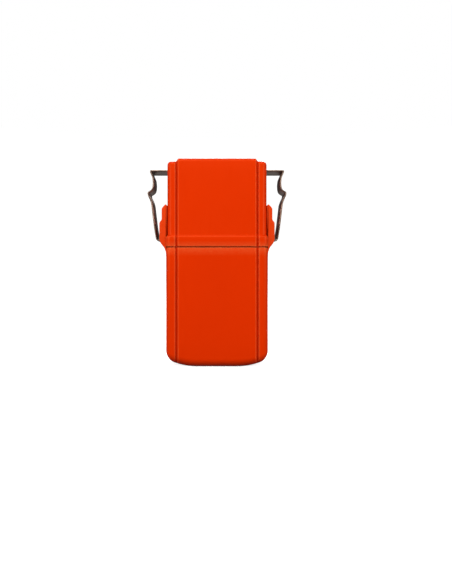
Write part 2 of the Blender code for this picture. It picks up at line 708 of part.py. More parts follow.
def build_selector(black, white, steel):
    """What turns with the selector: its shaft, the knob, and the disc let into the knob."""
    knob_foot = NUT_FOOT + GAP
    recess_top = NUT_FOOT + NUT_HEIGHT + 2 * GAP
    shaft_top = recess_top + KNOB_GRIP_DEPTH
    disc_foot = knob_foot + KNOB_HEIGHT - KNOB_DISC_SEAT
    shaft_place = (0, SHAFT_FOOT, KNOB_Z)
    shaft = rod(
        "selector_shaft", SHAFT_RADIUS, shaft_top - SHAFT_FOOT, steel, shaft_place, TO_BACK
    )
    knob_middle = (0, knob_foot + KNOB_HEIGHT / 2, KNOB_Z)
    knob = slab("selector_knob", knob_grip(), KNOB_HEIGHT, black, knob_middle)
    sunk = (
        ("knob_recess", BUSHING_RADIUS + 0.0032, knob_foot - NUT_HEIGHT, recess_top),
        ("knob_bore", SHAFT_RADIUS + GAP, knob_foot, shaft_top + GAP),
        ("disc_seat", KNOB_RADIUS - KNOB_RIM, disc_foot, disc_foot + 2 * KNOB_DISC_SEAT),
    )
    for name, radius, start, end in sunk:
        cut(knob, rod(name, radius, end - start, None, (0, start, KNOB_Z), TO_BACK))
    disc = rod(
        "knob_disc",
        KNOB_RADIUS - KNOB_RIM - GAP,
        KNOB_DISC_SEAT,
        white,
        (0, disc_foot + GAP, KNOB_Z),
        TO_BACK,
    )
    hang(pivot_empty("selector_pivot", (0, PLATE_OUTER, KNOB_Z)), shaft, knob, disc)


def build_speaker(black, steel, card, cloth):
    """The loudspeaker behind the grille: cloth, basket, cone and magnet."""
    cloth_foot = PLATE_INNER - GAP - CLOTH_THICKNESS
    rim = SPEAKER_RADIUS - 0.0016
    rod(
        "grille_cloth",
        SPEAKER_RADIUS - 0.001,
        CLOTH_THICKNESS,
        cloth,
        (0, cloth_foot, SPEAKER_Z),
        TO_BACK,
    )
    place = (0, cloth_foot - GAP - SPEAKER_DEPTH, SPEAKER_Z)
    basket = [
        (MAGNET_RADIUS + GAP, 0),
        (MAGNET_RADIUS + 0.0013, 0),
        (SPEAKER_RADIUS - 0.0012, SPEAKER_DEPTH - 0.0016),
        (SPEAKER_RADIUS, SPEAKER_DEPTH - 0.0016),
        (SPEAKER_RADIUS, SPEAKER_DEPTH),
        (rim, SPEAKER_DEPTH),
        (rim - BASKET_WALL, SPEAKER_DEPTH - 0.0014),
        (MAGNET_RADIUS + GAP, BASKET_WALL),
    ]
    turned("loudspeaker_basket", basket, steel, place, TO_BACK, ring=True)
    cone = [
        (0, 0.0022),
        (0.003, 0.0021),
        (rim - 0.0005, SPEAKER_DEPTH - 0.0009),
        (rim - 0.0005, SPEAKER_DEPTH - 0.0006),
        (0.003, 0.0024),
        (0, 0.0028),
    ]
    turned("loudspeaker_cone", cone, card, place, TO_BACK)
    magnet_foot = (0, place[1] - MAGNET_DEPTH + BASKET_WALL, SPEAKER_Z)
    rod("loudspeaker_magnet", MAGNET_RADIUS, MAGNET_DEPTH, black, magnet_foot, TO_BACK)


def build_lamp(red, lamp_glass):
    """The signal lamp on the board and the clear pin that leads its light through the plate."""
    foot = (-SIDE_CONTROL_X, BOARD_BACK + GAP, LAMP_Z)
    rod("signal_lamp", LAMP_RADIUS - 0.0007, LAMP_HEIGHT, red, foot, TO_BACK)
    lens_foot = foot[1] + LAMP_HEIGHT + 0.0066
    top = PLATE_OUTER + 0.002 - lens_foot
    lens = [
        (0, 0),
        (LAMP_RADIUS, 0),
        (LAMP_RADIUS, top - 0.0015),
        (LAMP_RADIUS * 0.8, top - 0.0005),
        (LAMP_RADIUS * 0.3, top),
        (0, top),
    ]
    turned("lamp_lens", lens, lamp_glass, (-SIDE_CONTROL_X, lens_foot, LAMP_Z), TO_BACK)


def build_button(black, rubber):
    """The test button, whose flange keeps it behind the plate, and the switch that it presses."""
    foot = BOARD_BACK + GAP
    switch_place = (SIDE_CONTROL_X, foot + TEST_SWITCH_DEPTH / 2, LAMP_Z)
    block("test_switch", (0.006, TEST_SWITCH_DEPTH, 0.006), black, switch_place)
    stem_foot = foot + TEST_SWITCH_DEPTH + BUTTON_TRAVEL + GAP
    flange = PLATE_INNER - GAP - BUTTON_FLANGE - stem_foot
    top = PLATE_OUTER + BUTTON_PROUD - stem_foot
    profile = [
        (0, 0),
        (0.0014, 0),
        (0.0014, flange),
        (BUTTON_RADIUS + BUTTON_FLANGE, flange),
        (BUTTON_RADIUS + BUTTON_FLANGE, flange + BUTTON_FLANGE),
        (BUTTON_RADIUS, flange + BUTTON_FLANGE),
        (BUTTON_RADIUS, top - 0.0007),
        (BUTTON_RADIUS - 0.0007, top),
        (0, top),
    ]
    place = (SIDE_CONTROL_X, stem_foot, LAMP_Z)
    button = turned("test_button", profile, rubber, place, TO_BACK)
    hang(pivot_empty("button_slide", (SIDE_CONTROL_X, PLATE_OUTER, LAMP_Z)), button)


def build_socket(rubber, steel):
    """The earphone socket and the rubber plug that keeps it shut."""
    foot = BOARD_BACK + GAP
    length = PLATE_OUTER + 0.0006 - foot
    place = (-SIDE_CONTROL_X, foot, SOCKET_Z)
    tube("earphone_socket", SOCKET_BORE, SOCKET_RADIUS, length, steel, place, TO_BACK)
    stem_foot = foot + 0.003
    mouth = foot + length + GAP - stem_foot
    stem, head = SOCKET_BORE - RUNNING_GAP, SOCKET_RADIUS + 0.0006
    profile = [
        (0, 0),
        (stem, 0),
        (stem, mouth),
        (head, mouth),
        (head + 0.0004, mouth + 0.001),
        (head, mouth + 0.0026),
        (stem, mouth + 0.003),
        (0, mouth + 0.003),
    ]
    place = (-SIDE_CONTROL_X, stem_foot, SOCKET_Z)
    plug = turned("socket_plug", profile, rubber, place, TO_BACK)
    hang(pivot_empty("plug_slide", (-SIDE_CONTROL_X, PLATE_OUTER, SOCKET_Z)), plug)


def build_board(green, steel):
    """The circuit board and the four screws that hold it to the plate's posts."""
    middle = (BOARD_TOP + BOARD_BOTTOM) / 2
    size = (2 * BOARD_HALF_WIDTH, BOARD_THICKNESS, BOARD_TOP - BOARD_BOTTOM)
    board = block("circuit_board", size, green, (0, BOARD_Y, middle))
    length = BOARD_THICKNESS + 0.003
    profile = screw_profile(BOARD_SCREW_RADIUS - GAP, length, 0.002)
    for i, (x, z) in enumerate(post_spots()):
        hole, tip = (x, BOARD_FRONT - 0.001, z), (x, BOARD_FRONT - GAP + length, z)
        cut(board, rod(f"board_hole_{i}", BOARD_SCREW_RADIUS, 0.004, None, hole, TO_BACK, 12))
        turned(f"board_screw_{i + 1}", profile, steel, tip, TO_FRONT, 12)


def build_aerial(ferrite, copper, rubber):
    """The ferrite rod aerial, with its winding, in two clips on the front of the board."""
    middle = (BOARD_TOP + BOARD_BOTTOM) / 2
    front = BOARD_FRONT - GAP
    rod_y, rod_foot = front - WINDING_RADIUS - RUNNING_GAP, middle - ROD_LENGTH / 2
    rod("ferrite_rod", ROD_RADIUS, ROD_LENGTH, ferrite, (ROD_X, rod_y, rod_foot))
    foot = (ROD_X, rod_y, middle - WINDING_LENGTH / 2)
    bore = ROD_RADIUS + RUNNING_GAP
    tube("aerial_winding", bore, WINDING_RADIUS, WINDING_LENGTH, copper, foot)
    width, depth, height = CLIP_SIZE
    for name, z in (("lower", rod_foot + 0.005), ("upper", rod_foot + ROD_LENGTH - 0.005)):
        clip = block(f"rod_clip_{name}", CLIP_SIZE, rubber, (ROD_X, front - depth / 2, z))
        cut(clip, rod(f"clip_bore_{name}", bore, 2 * height, None, (ROD_X, rod_y, z - height)))


def build_components(black, steel, blue):
    """What stands on the front of the board beside the aerial: chips, cans and capacitors, each
    placed from the post that it has to clear."""
    upper, lower = POST_HEIGHTS
    front = BOARD_FRONT - GAP
    packages = (
        ("receiver_chip", (0.0064, 0.0032, 0.018), -0.0045, upper + 0.0015, black),
        ("timing_chip", (0.0064, 0.0032, 0.0095), -0.0045, lower + 0.0003, black),
        ("filter_can", (0.0072, 0.0066, 0.0072), -0.013, lower - 0.0088, steel),
        ("tuning_can", (0.0072, 0.0066, 0.0072), -0.0045, lower - 0.0118, steel),
        ("crystal", (0.0105, 0.0036, 0.0038), -0.0132, lower + 0.0092, steel),
    )
    for name, size, x, z, material in packages:
        block(name, size, material, (x, front - size[1] / 2, z))
    for i, z in enumerate((upper + 0.0052, lower + 0.0005)):
        rod(f"capacitor_{i + 1}", 0.0031, 0.0066, blue, (-0.0124, front, z), TO_FRONT, 16)


def spring_points(side):
    """A compression spring's helix, which narrows a little towards the cell."""
    foot = CELL_FOOT - SPRING_HEIGHT + SPRING_WIRE
    rise = SPRING_HEIGHT - 2 * SPRING_WIRE - GAP
    count = int(SPRING_TURNS * 12)
    points = []
    for i in range(count + 1):
        share = i / count
        radius = 0.0042 - 0.0012 * share
        turn = math.tau * SPRING_TURNS * share
        x = side * CELL_SPACING + radius * math.cos(turn)
        points.append((x, radius * math.sin(turn), foot + rise * share))
    return points


def wire(name, points, radius, material):
    """A round wire through the points, with closed ends."""
    curve = bpy.data.curves.new(name, "CURVE")
    curve.dimensions = "3D"
    curve.bevel_depth = radius
    curve.bevel_resolution = 2
    curve.use_fill_caps = True
    spline = curve.splines.new("POLY")
    spline.points.add(len(points) - 1)
    for point, place in zip(spline.points, points):
        point.co = (*place, 1)
    curve.materials.append(material)
    bpy.context.scene.collection.objects.link(bpy.data.objects.new(name, curve))


def cell_profile(inverted):
    """An AA cell's outside: a can with rounded rims, and the nub of its positive end."""
    can, rim = CELL_LENGTH - CELL_NUB_HEIGHT, 0.0005
    profile = [
        (0, 0),
        (CELL_RADIUS - rim, 0),
        (CELL_RADIUS, rim),
        (CELL_RADIUS, can - rim),
        (CELL_RADIUS - rim, can),
        (CELL_NUB_RADIUS, can),
        (CELL_NUB_RADIUS, CELL_LENGTH),
        (0, CELL_LENGTH),
    ]
    if inverted:
        return [(radius, CELL_LENGTH - height) for radius, height in reversed(profile)]
    return profile


def build_carrier(black):
    """The carrier: a box with two wells, a deck that closes the collar, and a web between the
    cells."""
    half_width = CELL_SPACING + WELL_RADIUS + WELL_WALL
    half_depth = WELL_RADIUS + WELL_WALL / 2
    middle = (0, 0, (DECK_TOP + CARRIER_FOOT) / 2)
    size = (2 * half_width, 2 * half_depth, DECK_TOP - CARRIER_FOOT)
    carrier = block("cell_carrier", size, black, middle)
    outline = rounded_rectangle(COLLAR_HALF_WIDTH, COLLAR_HALF_DEPTH, COLLAR_RADIUS)
    deck_place = (0, 0, DECK_BOTTOM + DECK_THICKNESS / 2)
    join(carrier, slab("deck", outline, DECK_THICKNESS, None, deck_place, (0, 0, 0)))
    half, round_off = 0.0055, 0.003
    top = CARRIER_WEB_HEIGHT - round_off
    web = [(-half, -0.001), (half, -0.001)]
    web += arc((half - round_off, top), round_off, 0, 90, 4)
    web += arc((round_off - half, top), round_off, 90, 180, 4)
    across = (math.pi / 2, 0, math.pi / 2)
    join(carrier, slab("web", web, 0.0016, None, (0, 0, DECK_TOP), across))
    return carrier


def build_cells(carrier, wrap, steel):
    """The two cells, each in its well on a contact and a spring. They stand opposite ways up."""
    contact_z = CARRIER_FOOT + WELL_FLOOR + GAP
    for side, name in ((-1, "left"), (1, "right")):
        x = side * CELL_SPACING
        well = (x, 0, CARRIER_FOOT + WELL_FLOOR)
        cut(carrier, rod(f"well_{name}", WELL_RADIUS, CELL_LENGTH, None, well, steps=32))
        rod(f"cell_contact_{name}", 0.0055, CONTACT_THICKNESS, steel, (x, 0, contact_z))
        wire(f"cell_spring_{name}", spring_points(side), SPRING_WIRE, steel)
        turned(f"cell_{name}", cell_profile(side > 0), wrap, (x, 0, CELL_FOOT), steps=32)


def build_deck_screws(body, carrier, steel):
    """The screws that hold the carrier's deck down on two bosses inside the collar."""
    x_inner = CELL_SPACING + WELL_RADIUS + WELL_WALL
    for side, name in ((-1, "left"), (1, "right")):
        x = side * (x_inner + BORE_HALF_WIDTH) / 2
        foot = COLLAR_TOP - DECK_BOSS_HEIGHT
        hole_radius = SCREW_SHANK_RADIUS + GAP
        arm_end = side * (BORE_HALF_WIDTH + COLLAR_WALL / 2)
        arm_start = x + side * (hole_radius + 0.0005)
        arm_size = (abs(arm_end - arm_start), 0.002, DECK_BOSS_HEIGHT)
        arm_place = ((arm_start + arm_end) / 2, 0, foot + DECK_BOSS_HEIGHT / 2)
        boss_place = (x, 0, foot)
        boss = tube(
            f"deck_boss_{name}", hole_radius, 0.0026, DECK_BOSS_HEIGHT, None, boss_place, steps=16
        )
        join(body, boss, block(f"deck_arm_{name}", arm_size, None, arm_place))
        hole = (x, 0, DECK_BOTTOM - DECK_THICKNESS)
        cut(carrier, rod(f"deck_hole_{name}", hole_radius, 0.006, None, hole, steps=12))
        profile = screw_profile(SCREW_SHANK_RADIUS, 0.005, SCREW_HEAD_RADIUS)
        turned(f"deck_screw_{name}", profile, steel, (x, 0, DECK_TOP + GAP - 0.005), steps=16)


def build():
    clear_scene()
    shell = finish("orange_shell", (0.75, 0.05, 0.002), 0.35)
    black = finish("black_plastic", (0.012, 0.012, 0.013), 0.5)
    rubber = finish("black_rubber", (0.01, 0.01, 0.01), 0.8)
    steel = finish("spring_steel", (0.45, 0.42, 0.38), 0.35, 1.0)
    brass = finish("nickel_brass", (0.6, 0.5, 0.3), 0.35, 1.0)
    white = finish("marking_disc", (0.8, 0.8, 0.76), 0.5)
    red = finish("lamp_body", (0.5, 0.02, 0.01), 0.3)
    lamp_glass = finish("lamp_lens", (0.5, 0.02, 0.01), 0.1)
    card = finish("cone_paper", (0.03, 0.03, 0.03), 0.9)
    cloth = finish("grille_cloth", (0.02, 0.02, 0.02), 0.95)
    foam = finish("foam", (0.05, 0.05, 0.05), 0.95)
    green = finish("board_laminate", (0.02, 0.12, 0.04), 0.5)
    ferrite = finish("ferrite", (0.02, 0.018, 0.018), 0.6)
    copper = finish("copper_wire", (0.5, 0.14, 0.05), 0.35, 1.0)
    blue = finish("capacitor_sleeve", (0.02, 0.05, 0.2), 0.4)
    wrap = finish("cell_wrap", (0.03, 0.05, 0.12), 0.3)
    body = build_body(shell)
    cap_pieces = build_cap(shell, foam, steel)
    hang(pivot_empty("cap_lift", (0, 0, CAP_FOOT)), *cap_pieces)
    build_seal(rubber)
    for side, name in ((-1, "left"), (1, "right")):
        build_latch(side, name, steel)
    build_control_plate(black, steel)
    build_switch(black, brass)
    build_selector(black, white, steel)
    build_speaker(black, steel, card, cloth)
    build_lamp(red, lamp_glass)
    build_button(black, rubber)
    build_socket(rubber, steel)
    build_board(green, steel)
    build_aerial(ferrite, copper, rubber)
    build_components(black, steel, blue)
    carrier = build_carrier(black)
    build_cells(carrier, wrap, steel)
    build_deck_screws(body, carrier, steel)


build()
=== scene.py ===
"""Looks for an avalanche transceiver: moulded orange case, steel strip latches, black controls.

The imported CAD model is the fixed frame. Each visible piece is a numpy surface that stands in the
place of its CAD node, and the pieces inside keep their CAD shape and get a finished material.
Everything is in metres. +Z is up, and the plain front faces -Y.
"""

import math

import bmesh
import bpy
import numpy as np
from mathutils import Matrix, Vector


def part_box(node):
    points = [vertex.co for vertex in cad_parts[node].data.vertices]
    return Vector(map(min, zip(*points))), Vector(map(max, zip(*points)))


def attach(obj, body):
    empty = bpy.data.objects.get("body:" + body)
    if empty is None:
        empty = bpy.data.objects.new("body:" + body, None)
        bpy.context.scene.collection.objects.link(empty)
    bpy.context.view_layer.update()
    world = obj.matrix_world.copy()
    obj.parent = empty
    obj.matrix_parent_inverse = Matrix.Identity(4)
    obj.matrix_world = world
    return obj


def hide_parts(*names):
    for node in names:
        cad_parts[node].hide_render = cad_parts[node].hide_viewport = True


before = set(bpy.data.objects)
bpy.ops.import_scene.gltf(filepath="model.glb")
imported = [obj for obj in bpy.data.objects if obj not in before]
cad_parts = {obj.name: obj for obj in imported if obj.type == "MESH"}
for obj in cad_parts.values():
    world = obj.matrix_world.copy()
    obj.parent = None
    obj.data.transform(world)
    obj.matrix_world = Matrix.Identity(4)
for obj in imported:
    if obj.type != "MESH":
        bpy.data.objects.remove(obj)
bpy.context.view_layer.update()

MM = 0.001

# Places taken from the frame
BODY_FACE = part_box("case_body")[1].y
CASE_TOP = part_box("case_cap")[1].z
CAP_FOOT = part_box("case_cap")[0].z
EAR_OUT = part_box("case_body")[1].x
EAR_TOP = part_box("case_body")[1].z
PLATE_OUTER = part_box("control_plate")[1].y
PLATE_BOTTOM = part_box("control_plate")[0].z
PLATE_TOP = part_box("control_plate")[1].z
PLATE_HALF_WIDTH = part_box("control_plate")[1].x
COLLAR_HALF_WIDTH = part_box("cell_carrier")[1].x
COLLAR_HALF_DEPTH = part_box("cell_carrier")[1].y
COLLAR_TOP = 82.0 * MM

# Case sizes
BODY_RIM = CAP_FOOT - 0.8 * MM
BODY_HALF = (31.3 * MM, 13.2 * MM)
CAP_HALF = (30.5 * MM, 12.8 * MM)
CORNER = 3.4 * MM
PANEL_HALF_WIDTH = 24.1 * MM
PANEL_PROUD = 0.8 * MM
GROOVE_WIDTH = 1.5 * MM
GROOVE_DEPTH = 1.1 * MM
BASE_FILLET = 5.5 * MM
BASE_FLAT_HALF = 12.0 * MM
BASE_BOW_RADIUS = 44.0 * MM
SHOULDER_DROP = 1.9 * MM
CAP_FILLET = 2.2 * MM
BAND_HEIGHT = 7.4 * MM
BAND_PROUD = (1.0 * MM, 0.7 * MM)
WALL = 2.2 * MM
CAP_WALL = 2.4 * MM
FOOT_DROP = 0.15 * MM
COLLAR_WALL = 1.6 * MM

# Latches
LATCH_THICKNESS = 0.9 * MM
PIVOT = (35.0 * MM, 79.0 * MM)
PIN_RADIUS = 0.9 * MM
EAR_INNER = 30.85 * MM
EAR_HALF_DEPTH = 11.05 * MM


def linear(hex_colour):
    """sRGB hex to linear RGBA."""
    srgb = np.array([int(hex_colour[i : i + 2], 16) for i in (0, 2, 4)]) / 255
    rgb = np.where(srgb <= 0.04045, srgb / 12.92, ((srgb + 0.055) / 1.055) ** 2.4)
    return (*rgb.tolist(), 1.0)


# Meshes


def mesh_piece(name, points, faces, material, sharp=40):
    """A mesh object with its doubles merged, its faces outwards and its sharp edges marked."""
    mesh = bpy.data.meshes.new(name)
    mesh.from_pydata(points.reshape(-1, 3).tolist(), [], faces.tolist())
    bm = bmesh.new()
    bm.from_mesh(mesh)
    bmesh.ops.remove_doubles(bm, verts=bm.verts, dist=2e-6)
    bmesh.ops.recalc_face_normals(bm, faces=bm.faces)
    bm.to_mesh(mesh)
    bm.free()
    mesh.shade_smooth()
    mesh.set_sharp_from_angle(angle=math.radians(sharp))
    mesh.materials.append(material)
    piece = bpy.data.objects.new(name, mesh)
    bpy.context.scene.collection.objects.link(piece)
    return piece


def grid_faces(rows, columns, wrap):
    """Quads of a grid of rows by columns. A wrapped grid's last column meets its first."""
    i, j = np.meshgrid(np.arange(rows - 1), np.arange(columns if wrap else columns - 1), indexing="ij")
    k = (j + 1) % columns
    corners = (i * columns + j, i * columns + k, (i + 1) * columns + k, (i + 1) * columns + j)
    return np.stack(corners, -1).reshape(-1, 4)


def grid_piece(name, points, material, wrap=True, sharp=40):
    rows, columns = points.shape[:2]
    return mesh_piece(name, points, grid_faces(rows, columns, wrap), material, sharp)


def applied(piece, sharp=35):
    """The piece with its modifiers made part of its mesh."""
    graph = bpy.context.evaluated_depsgraph_get()
    mesh = bpy.data.meshes.new_from_object(piece.evaluated_get(graph))
    piece.modifiers.clear()
    piece.data = mesh
    mesh.shade_smooth()
    mesh.set_sharp_from_angle(angle=math.radians(sharp))
    return piece


def cut_by(piece, cutters, operation="DIFFERENCE"):
    """Boolean with each cutter in turn. The cutters are removed afterwards."""
    for cutter in cutters:
        modifier = piece.modifiers.new("cut", "BOOLEAN")
        modifier.operation, modifier.solver, modifier.object = operation, "EXACT", cutter
    applied(piece)
    for cutter in cutters:
        bpy.data.objects.remove(cutter)
    return piece


def softened(points, radius, steps=5, closed=False):
    """A line with each corner replaced by a parabola that leaves it a radius away, or half a
    side away where the side is short."""
    points = np.asarray(points, float)
    before, after = np.roll(points, 1, 0), np.roll(points, -1, 0)
    back, ahead = before - points, after - points
    t = np.linspace(0, 1, steps)[:, None, None]

    def reach(side):
        length = np.linalg.norm(side, axis=1, keepdims=True)
        return side * np.minimum(radius / length, 0.5)

    start, end = points + reach(back), points + reach(ahead)
    curve = (1 - t) ** 2 * start + 2 * t * (1 - t) * points + t**2 * end
    curve = curve.transpose(1, 0, 2)
    if closed:
        return curve.reshape(-1, 2)
    return np.concatenate([points[:1], curve[1:-1].reshape(-1, 2), points[-1:]])


def arc(centre, radius, start, end, steps):
    """Points along an arc, angles in degrees."""
    a = np.radians(np.linspace(start, end, steps))
    return np.stack([centre[0] + radius * np.cos(a), centre[1] + radius * np.sin(a)], 1)


def slab(name, outline, low, high, material, edge=0.0, sharp=40):
    """An outline in X and Z that runs from y=low to y=high. Its rims are rounded by moving the
    outline inwards along its normals while y follows a quarter circle."""
    outline = np.asarray(outline, float)
    ahead = np.roll(outline, -1, 0) - np.roll(outline, 1, 0)
    ahead /= np.linalg.norm(ahead, axis=1, keepdims=True)
    area = np.sum(outline[:, 0] * np.roll(outline[:, 1], -1) - outline[:, 1] * np.roll(outline[:, 0], -1))
    inward = np.stack([-ahead[:, 1], ahead[:, 0]], 1) * np.sign(area)
    a = np.linspace(0, np.pi / 2, 5 if edge else 1)
    inset = edge * (1 - np.sin(a))
    rise = edge * (1 - np.cos(a))
    insets = np.concatenate([inset, inset[::-1]])
    y = np.concatenate([low + rise, (high - rise)[::-1]])
    flat = outline[None] + inward[None] * insets[:, None, None]
    points = np.stack([flat[..., 0], np.broadcast_to(y[:, None], flat.shape[:2]), flat[..., 1]], -1)
    piece = grid_piece(name, points, material, sharp=sharp)
    bm = bmesh.new()
    bm.from_mesh(piece.data)
    bmesh.ops.holes_fill(bm, edges=[e for e in bm.edges if e.is_boundary])
    bmesh.ops.recalc_face_normals(bm, faces=bm.faces)
    bm.to_mesh(piece.data)
    bm.free()
    piece.data.set_sharp_from_angle(angle=math.radians(sharp))
    return piece


def turned(name, profile, centre, material, count=64, wave=None, sharp=40):
    """A profile of (radius, distance along +Y) spun round the Y axis through centre. wave maps
    (radii, angles) to new radii."""
    profile = np.asarray(profile, float)
    angle = np.linspace(0, 2 * np.pi, count, endpoint=False)
    radius = np.repeat(profile[:, :1], count, 1)
    if wave:
        radius = wave(radius, profile[:, 1:], angle[None])
    x = centre[0] + radius * np.cos(angle)
    z = centre[2] + radius * np.sin(angle)
    y = centre[1] + np.repeat(profile[:, 1:], count, 1)
    return grid_piece(name, np.stack([x, y, z], -1), material, sharp=sharp)


# Materials


def node(tree, kind, values=None, links=None, **settings):
    """Adds a node with its settings, its socket values and what feeds its sockets."""
    made = tree.nodes.new(kind)
    for key, value in settings.items():
        setattr(made, key, value)
    for key, value in (values or {}).items():
        made.inputs[key].default_value = value
    for key, source in (links or {}).items():
        tree.links.new(source, made.inputs[key])
    return made


def finish(name, colour, roughness, metallic=0.0, **sockets):
    """A new material, its shader with these constants, and its tree."""
    made = bpy.data.materials.new(name)
    made.use_nodes = True
    shader = made.node_tree.nodes["Principled BSDF"]
    shader.inputs["Base Color"].default_value = linear(colour)
    shader.inputs["Roughness"].default_value = roughness
    shader.inputs["Metallic"].default_value = metallic
    for key, value in sockets.items():
        shader.inputs[key.replace("_", " ")].default_value = value
    return made, shader, made.node_tree


def grained(name, colours, roughness, grain, bump, metallic=0.0, stretch=(1, 1, 1), mottle=20.0, **sockets):
    """A surface whose colour drifts between two tones over mottle millimetres, and whose grain,
    in millimetres, gives its bump and moves its roughness. stretch draws the grain out."""
    made, shader, tree = finish(name, colours[0], sum(roughness) / 2, metallic, **sockets)
    place = node(tree, "ShaderNodeTexCoord").outputs["Object"]
    drawn = node(tree, "ShaderNodeMapping", {"Scale": stretch}, {"Vector": place}).outputs[0]
    drift = node(tree, "ShaderNodeTexNoise", {"Scale": 1 / (mottle * MM), "Detail": 3.0}, {"Vector": place})
    fine = node(tree, "ShaderNodeTexNoise", {"Scale": 1 / (grain * MM), "Detail": 2.0}, {"Vector": drawn})
    tone = node(
        tree,
        "ShaderNodeMix",
        {6: linear(colours[0]), 7: linear(colours[1])},
        {0: drift.outputs["Fac"]},
        data_type="RGBA",
    )
    tree.links.new(tone.outputs[2], shader.inputs["Base Color"])
    spread = node(
        tree,
        "ShaderNodeMapRange",
        {"From Min": 0.3, "From Max": 0.7, "To Min": roughness[0], "To Max": roughness[1]},
        {"Value": fine.outputs["Fac"]},
    )
    tree.links.new(spread.outputs[0], shader.inputs["Roughness"])
    relief = node(
        tree, "ShaderNodeBump", {"Strength": 1.0, "Distance": bump * MM}, {"Height": fine.outputs["Fac"]}
    )
    tree.links.new(relief.outputs[0], shader.inputs["Normal"])
    return made


def moulded_abs():
    """Glossy orange ABS, moulded in a lightly spark-eroded tool: an even, deep colour, a soft
    sheen broken by a fine grain (0.3 mm here, coarser than the real 0.05 mm so that it shows),
    a slightly scuffed gloss, paler edges that are partly rubbed wear and partly a painted
    highlight, and painted shade in the grooves."""
    made, shader, tree = finish(
        "moulded_orange_abs", "e63100", 0.34, Specular_IOR_Level=0.25, Specular_Tint=linear("ff9a50")
    )
    place = node(tree, "ShaderNodeTexCoord").outputs["Object"]
    drift = node(tree, "ShaderNodeTexNoise", {"Scale": 22.0, "Detail": 2.0}, {"Vector": place})
    tone = node(
        tree,
        "ShaderNodeMix",
        {6: linear("e23000"), 7: linear("ea3400")},
        {0: drift.outputs["Fac"]},
        data_type="RGBA",
    )
    # Paler on convex rims: partly rubbed wear, partly a painted highlight where the rims catch the light.
    edge = node(tree, "ShaderNodeAttribute", attribute_name="edge")
    specks = node(tree, "ShaderNodeTexNoise", {"Scale": 900.0, "Detail": 4.0}, {"Vector": place})
    worn_and_highlit = node(
        tree,
        "ShaderNodeMath",
        {},
        {0: edge.outputs["Fac"], 1: specks.outputs["Fac"]},
        operation="MULTIPLY",
    )
    rubbed_and_highlit = node(
        tree,
        "ShaderNodeMix",
        {7: linear("f58a4c")},
        {0: worn_and_highlit.outputs[0], 6: tone.outputs[2]},
        data_type="RGBA",
    )
    # Darker red in concave grooves: painted shade, where the grooves fall into shadow.
    nook = node(tree, "ShaderNodeAttribute", attribute_name="nook")
    painted_groove_shade = node(tree, "ShaderNodeMath", {1: 0.3}, {0: nook.outputs["Fac"]}, operation="MULTIPLY")
    groove_shaded = node(
        tree,
        "ShaderNodeMix",
        {7: linear("7c1500")},
        {0: painted_groove_shade.outputs[0], 6: rubbed_and_highlit.outputs[2]},
        data_type="RGBA",
    )
    tree.links.new(groove_shaded.outputs[2], shader.inputs["Base Color"])
    scuff_place = node(
        tree,
        "ShaderNodeMapping",
        {"Scale": (1.0, 1.0, 0.12), "Rotation": (0.0, 0.5, 0.0)},
        {"Vector": place},
    )
    scuffs = node(
        tree, "ShaderNodeTexNoise", {"Scale": 700.0, "Detail": 6.0}, {"Vector": scuff_place.outputs[0]}
    )
    gloss = node(
        tree,
        "ShaderNodeMapRange",
        {"From Min": 0.35, "From Max": 0.7, "To Min": 0.30, "To Max": 0.42},
        {"Value": scuffs.outputs["Fac"]},
    )
    tree.links.new(gloss.outputs[0], shader.inputs["Roughness"])
    grain = node(tree, "ShaderNodeTexNoise", {"Scale": 3300.0, "Detail": 2.0}, {"Vector": place})
    relief = node(
        tree, "ShaderNodeBump", {"Strength": 0.5, "Distance": 0.02 * MM}, {"Height": grain.outputs["Fac"]}
    )
    tree.links.new(relief.outputs[0], shader.inputs["Normal"])
    return made


def marked_disc(centre, turn):
    """Satin black ABS insert with one hot-stamped white pointer line from its middle to its rim."""
    made, shader, tree = finish("stamped_pointer_disc", "1c1c1e", 0.4)
    place = node(tree, "ShaderNodeTexCoord").outputs["Object"]
    centred = node(
        tree, "ShaderNodeVectorMath", {1: tuple(-c for c in centre)}, {0: place}, operation="ADD"
    )
    turned_back = node(
        tree, "ShaderNodeMapping", {"Rotation": (0.0, -turn, 0.0)}, {"Vector": centred.outputs[0]}
    )
    axes = node(tree, "ShaderNodeSeparateXYZ", {}, {0: turned_back.outputs[0]})
    across = node(tree, "ShaderNodeMath", {}, {0: axes.outputs["X"]}, operation="ABSOLUTE")
    narrow = node(tree, "ShaderNodeMath", {1: 0.55 * MM}, {0: across.outputs[0]}, operation="LESS_THAN")
    outer = node(tree, "ShaderNodeMath", {1: 1.5 * MM}, {0: axes.outputs["Z"]}, operation="GREATER_THAN")
    line = node(
        tree, "ShaderNodeMath", {}, {0: narrow.outputs[0], 1: outer.outputs[0]}, operation="MULTIPLY"
    )
    ink = node(
        tree,
        "ShaderNodeMix",
        {6: linear("1c1c1e"), 7: linear("f2f2ec")},
        {0: line.outputs[0]},
        data_type="RGBA",
    )
    tree.links.new(ink.outputs[2], shader.inputs["Base Color"])
    return made


def woven_cloth():
    """Black acoustic cloth, plain woven: threads 0.5 mm apart, crossing in X and Z."""
    made, shader, tree = finish("woven_acoustic_cloth", "151515", 0.95)
    place = node(tree, "ShaderNodeTexCoord").outputs["Object"]
    waves = [
        node(tree, "ShaderNodeTexWave", {"Scale": 2000 / 6.28}, {"Vector": place}, bands_direction=axis)
        for axis in ("X", "Z")
    ]
    crossed = {i: wave.outputs["Fac"] for i, wave in enumerate(waves)}
    weave = node(tree, "ShaderNodeMath", {}, crossed, operation="MAXIMUM")
    relief = node(tree, "ShaderNodeBump", {"Distance": 0.1 * MM}, {"Height": weave.outputs[0]})
    tree.links.new(relief.outputs[0], shader.inputs["Normal"])
    return made


orange = moulded_abs()
# Spring steel strip, cold rolled and brushed along its length: warm grey, with long fine lines
strip_steel = grained(
    "rolled_spring_steel", ("a08a7a", "857060"), (0.24, 0.42), 0.35, 0.007, 1.0, (1, 1, 0.06), 8.0
)
